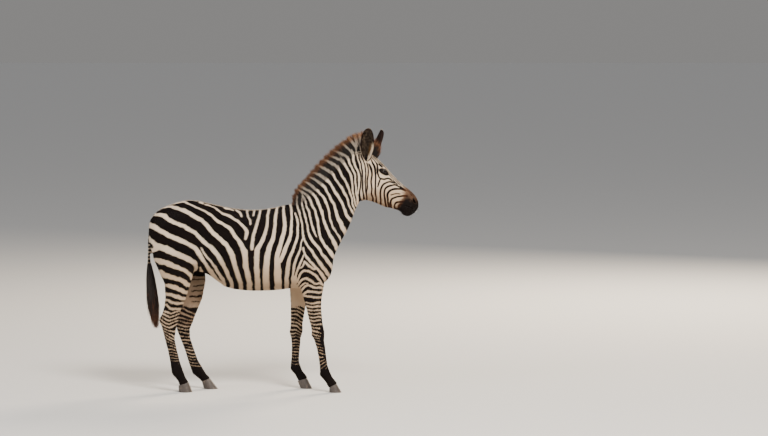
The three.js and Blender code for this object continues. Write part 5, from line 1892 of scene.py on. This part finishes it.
# %% What each tuft is like
TUFT_SIZES = (  # length, width and height, each on body, feet and face, in metres
    (0.0130, 0.0075, 0.0052), (0.0031, 0.0023, 0.0015), (0.0030, 0.0018, 0.0009))
SEEN_AT = 0.55  # the share of its length where a tuft's colour is looked up
sizes = np.stack([by_region(roots, *row) for row in TUFT_SIZES], axis=1)
muzzle_near = tones_of(roots, outs)[1] * headness(roots)
sizes *= chance.uniform(0.82, 1.15, (len(roots), 1)) * (1 - 0.45 * muzzle_near[:, None])
seen_at = roots + lies * sizes[:, :1] * SEEN_AT
tuft_ink = ink_of(seen_at, outs)
tuft_tones = tones_of(seen_at, outs)
print("tufts in black:", round(float((tuft_ink > 0).mean()), 2))

# %% [markdown]
# The tufts are cut into pieces by part of the body, and each part is unrolled round its own axis: how far
# along the part, and how far round it. A tuft's patch lies at its root's place on that chart.

# %% Parts and their charts
NECK_AXIS = (np.array([0.10, 0.98]), np.array([0.56, 1.42]))


def leg_chart(points, leg):
    middle, out = leg_middle(leg, points[:, 2] * 1000)
    return points[:, 2], np.arctan2(points[:, 1] - out, points[:, 0] - middle)


def parts():
    """Yields the name of each part, which tufts are its own and their chart."""
    x, y, z = roots.T
    top = np.where(x > -0.2, 0.62, 0.60)
    on_leg, on_head = z < top, headness(roots) > 0.5
    neck_run, neck_turn = axis_chart(roots, *NECK_AXIS)
    on_neck = (neck_run > 0.10) & (x > 0.12) & ~on_head & ~on_leg
    head_run, head_turn = axis_chart(roots, *HEAD_AXIS)
    trunk_run, trunk_turn = axis_chart(roots, np.array([-0.9, 0.95]), np.array([0.3, 0.95]))
    for leg in FEET:
        kind, side = leg.split("_")
        own = on_leg & ((x > -0.2) == (kind == "fore")) & ((y < 0) == (side == "right"))
        yield f"coat_{kind}leg_{side}", own, leg_chart(roots, leg)
    for side, sign in SIDES.items():
        half = (y * sign > 0) & ~on_leg
        rest = half & ~on_head & ~on_neck
        yield f"coat_head_{side}", half & on_head, (head_run, head_turn)
        yield f"coat_neck_{side}", half & on_neck, (neck_run, neck_turn)
        yield f"coat_front_{side}", rest & (x > -0.25), (trunk_run, trunk_turn)
        yield f"coat_rear_{side}", rest & (x <= -0.25), (trunk_run, trunk_turn)


COAT_PARTS = list(parts())
print("parts of the coat:", len(COAT_PARTS))

# %% Node tree that plants the tufts
KITE = [(0, 0, 0.05), (0.36, -0.5, 0.08), (0.36, 0.5, 0.08), (1, 0, 1)]
KITE_FACES = [(0, 2, 1), (1, 2, 3), (0, 1, 3), (0, 3, 2)]
KITE_PATCH = np.array([(0, -1), (-1, -0.2), (1, -0.2), (0, 1)]) * PATCH / 2


def coat_material():
    material = own_material("coat hair", CREAM, 0.62, 0.06)
    linked_coat_colour(material.node_tree, own_place(material.node_tree))
    return material


def planting_tree():
    inputs = [("Roots", "Geometry"), ("Tuft", "Object"), ("Hair", "Material")]
    tree, given, result = node_group("plant tufts", inputs, ("Geometry", "Geometry"), "GeometryNodeTree")
    dots = tree.nodes.new("GeometryNodeMeshToPoints")
    plant = tree.nodes.new("GeometryNodeInstanceOnPoints")
    tuft = tree.nodes.new("GeometryNodeObjectInfo")
    turn = tree.nodes.new("FunctionNodeAxesToRotation")
    turn.primary_axis, turn.secondary_axis = "X", "Z"
    real = tree.nodes.new("GeometryNodeRealizeInstances")
    paint_hair = tree.nodes.new("GeometryNodeSetMaterial")
    named = {}
    for name in ("lie", "out", "size"):
        named[name] = tree.nodes.new("GeometryNodeInputNamedAttribute")
        named[name].data_type = "FLOAT_VECTOR"
        named[name].inputs["Name"].default_value = name
    for source, target in (
            (given.outputs["Roots"], dots.inputs["Mesh"]),
            (given.outputs["Tuft"], tuft.inputs["Object"]),
            (tuft.outputs["Geometry"], plant.inputs["Instance"]),
            (dots.outputs["Points"], plant.inputs["Points"]),
            (named["lie"].outputs["Attribute"], turn.inputs["Primary Axis"]),
            (named["out"].outputs["Attribute"], turn.inputs["Secondary Axis"]),
            (turn.outputs["Rotation"], plant.inputs["Rotation"]),
            (named["size"].outputs["Attribute"], plant.inputs["Scale"]),
            (plant.outputs["Instances"], real.inputs["Geometry"]),
            (real.outputs["Geometry"], paint_hair.inputs["Geometry"]),
            (given.outputs["Hair"], paint_hair.inputs["Material"]),
            (paint_hair.outputs["Geometry"], result.inputs["Geometry"])):
        tree.links.new(source, target)
    return tree


PLANTING, COAT_MATERIAL = planting_tree(), coat_material()
SOCKETS = PLANTING.interface.items_tree
INPUTS = {socket.name: socket.identifier for socket in SOCKETS if socket.in_out == "INPUT"}
kite = new_object("kite", mesh_from("kite", KITE, KITE_FACES))
print("planting tree:", len(PLANTING.nodes), "nodes")


# %% Planting
def planted(name, own):
    """The tufts of one part as a plain mesh."""
    mesh = bpy.data.meshes.new(name)
    mesh.vertices.add(int(own.sum()))
    move_points(mesh, roots[own])
    for label, values in (("lie", lies), ("out", outs), ("size", sizes)):
        vectors = values[own].astype(np.float32)
        mesh.attributes.new(label, "FLOAT_VECTOR", "POINT").data.foreach_set("vector", vectors.ravel())
    item = new_object("planting", mesh)
    modifier = item.modifiers.new("planting", "NODES")
    modifier.node_group = PLANTING
    modifier[INPUTS["Tuft"]] = kite
    modifier[INPUTS["Hair"]] = COAT_MATERIAL
    result = plain_mesh(item)
    bpy.data.objects.remove(item)
    return result


total = 0
for name, own, places in COAT_PARTS:
    mesh = planted(name, own)
    for label, values in zip(("ink", *TONES), (tuft_ink, *tuft_tones)):
        paint(mesh, label, np.repeat(values[own], len(KITE)))
    chart = [within(values[own], values[own].min(), values[own].max()) for values in places]
    chart = np.stack(chart, axis=1)
    add_chart(mesh, (chart[:, None] + KITE_PATCH[None]).reshape(-1, 2))
    for label in ("lie", "out", "size"):
        if label in mesh.attributes:
            mesh.attributes.remove(mesh.attributes[label])
    item = new_object(name, mesh)
    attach(item, "root")
    total += len(mesh.polygons)
    print(f"{name}: {len(mesh.polygons):,} triangles")
bpy.data.objects.remove(kite)
print(f"coat: {total:,} triangles")
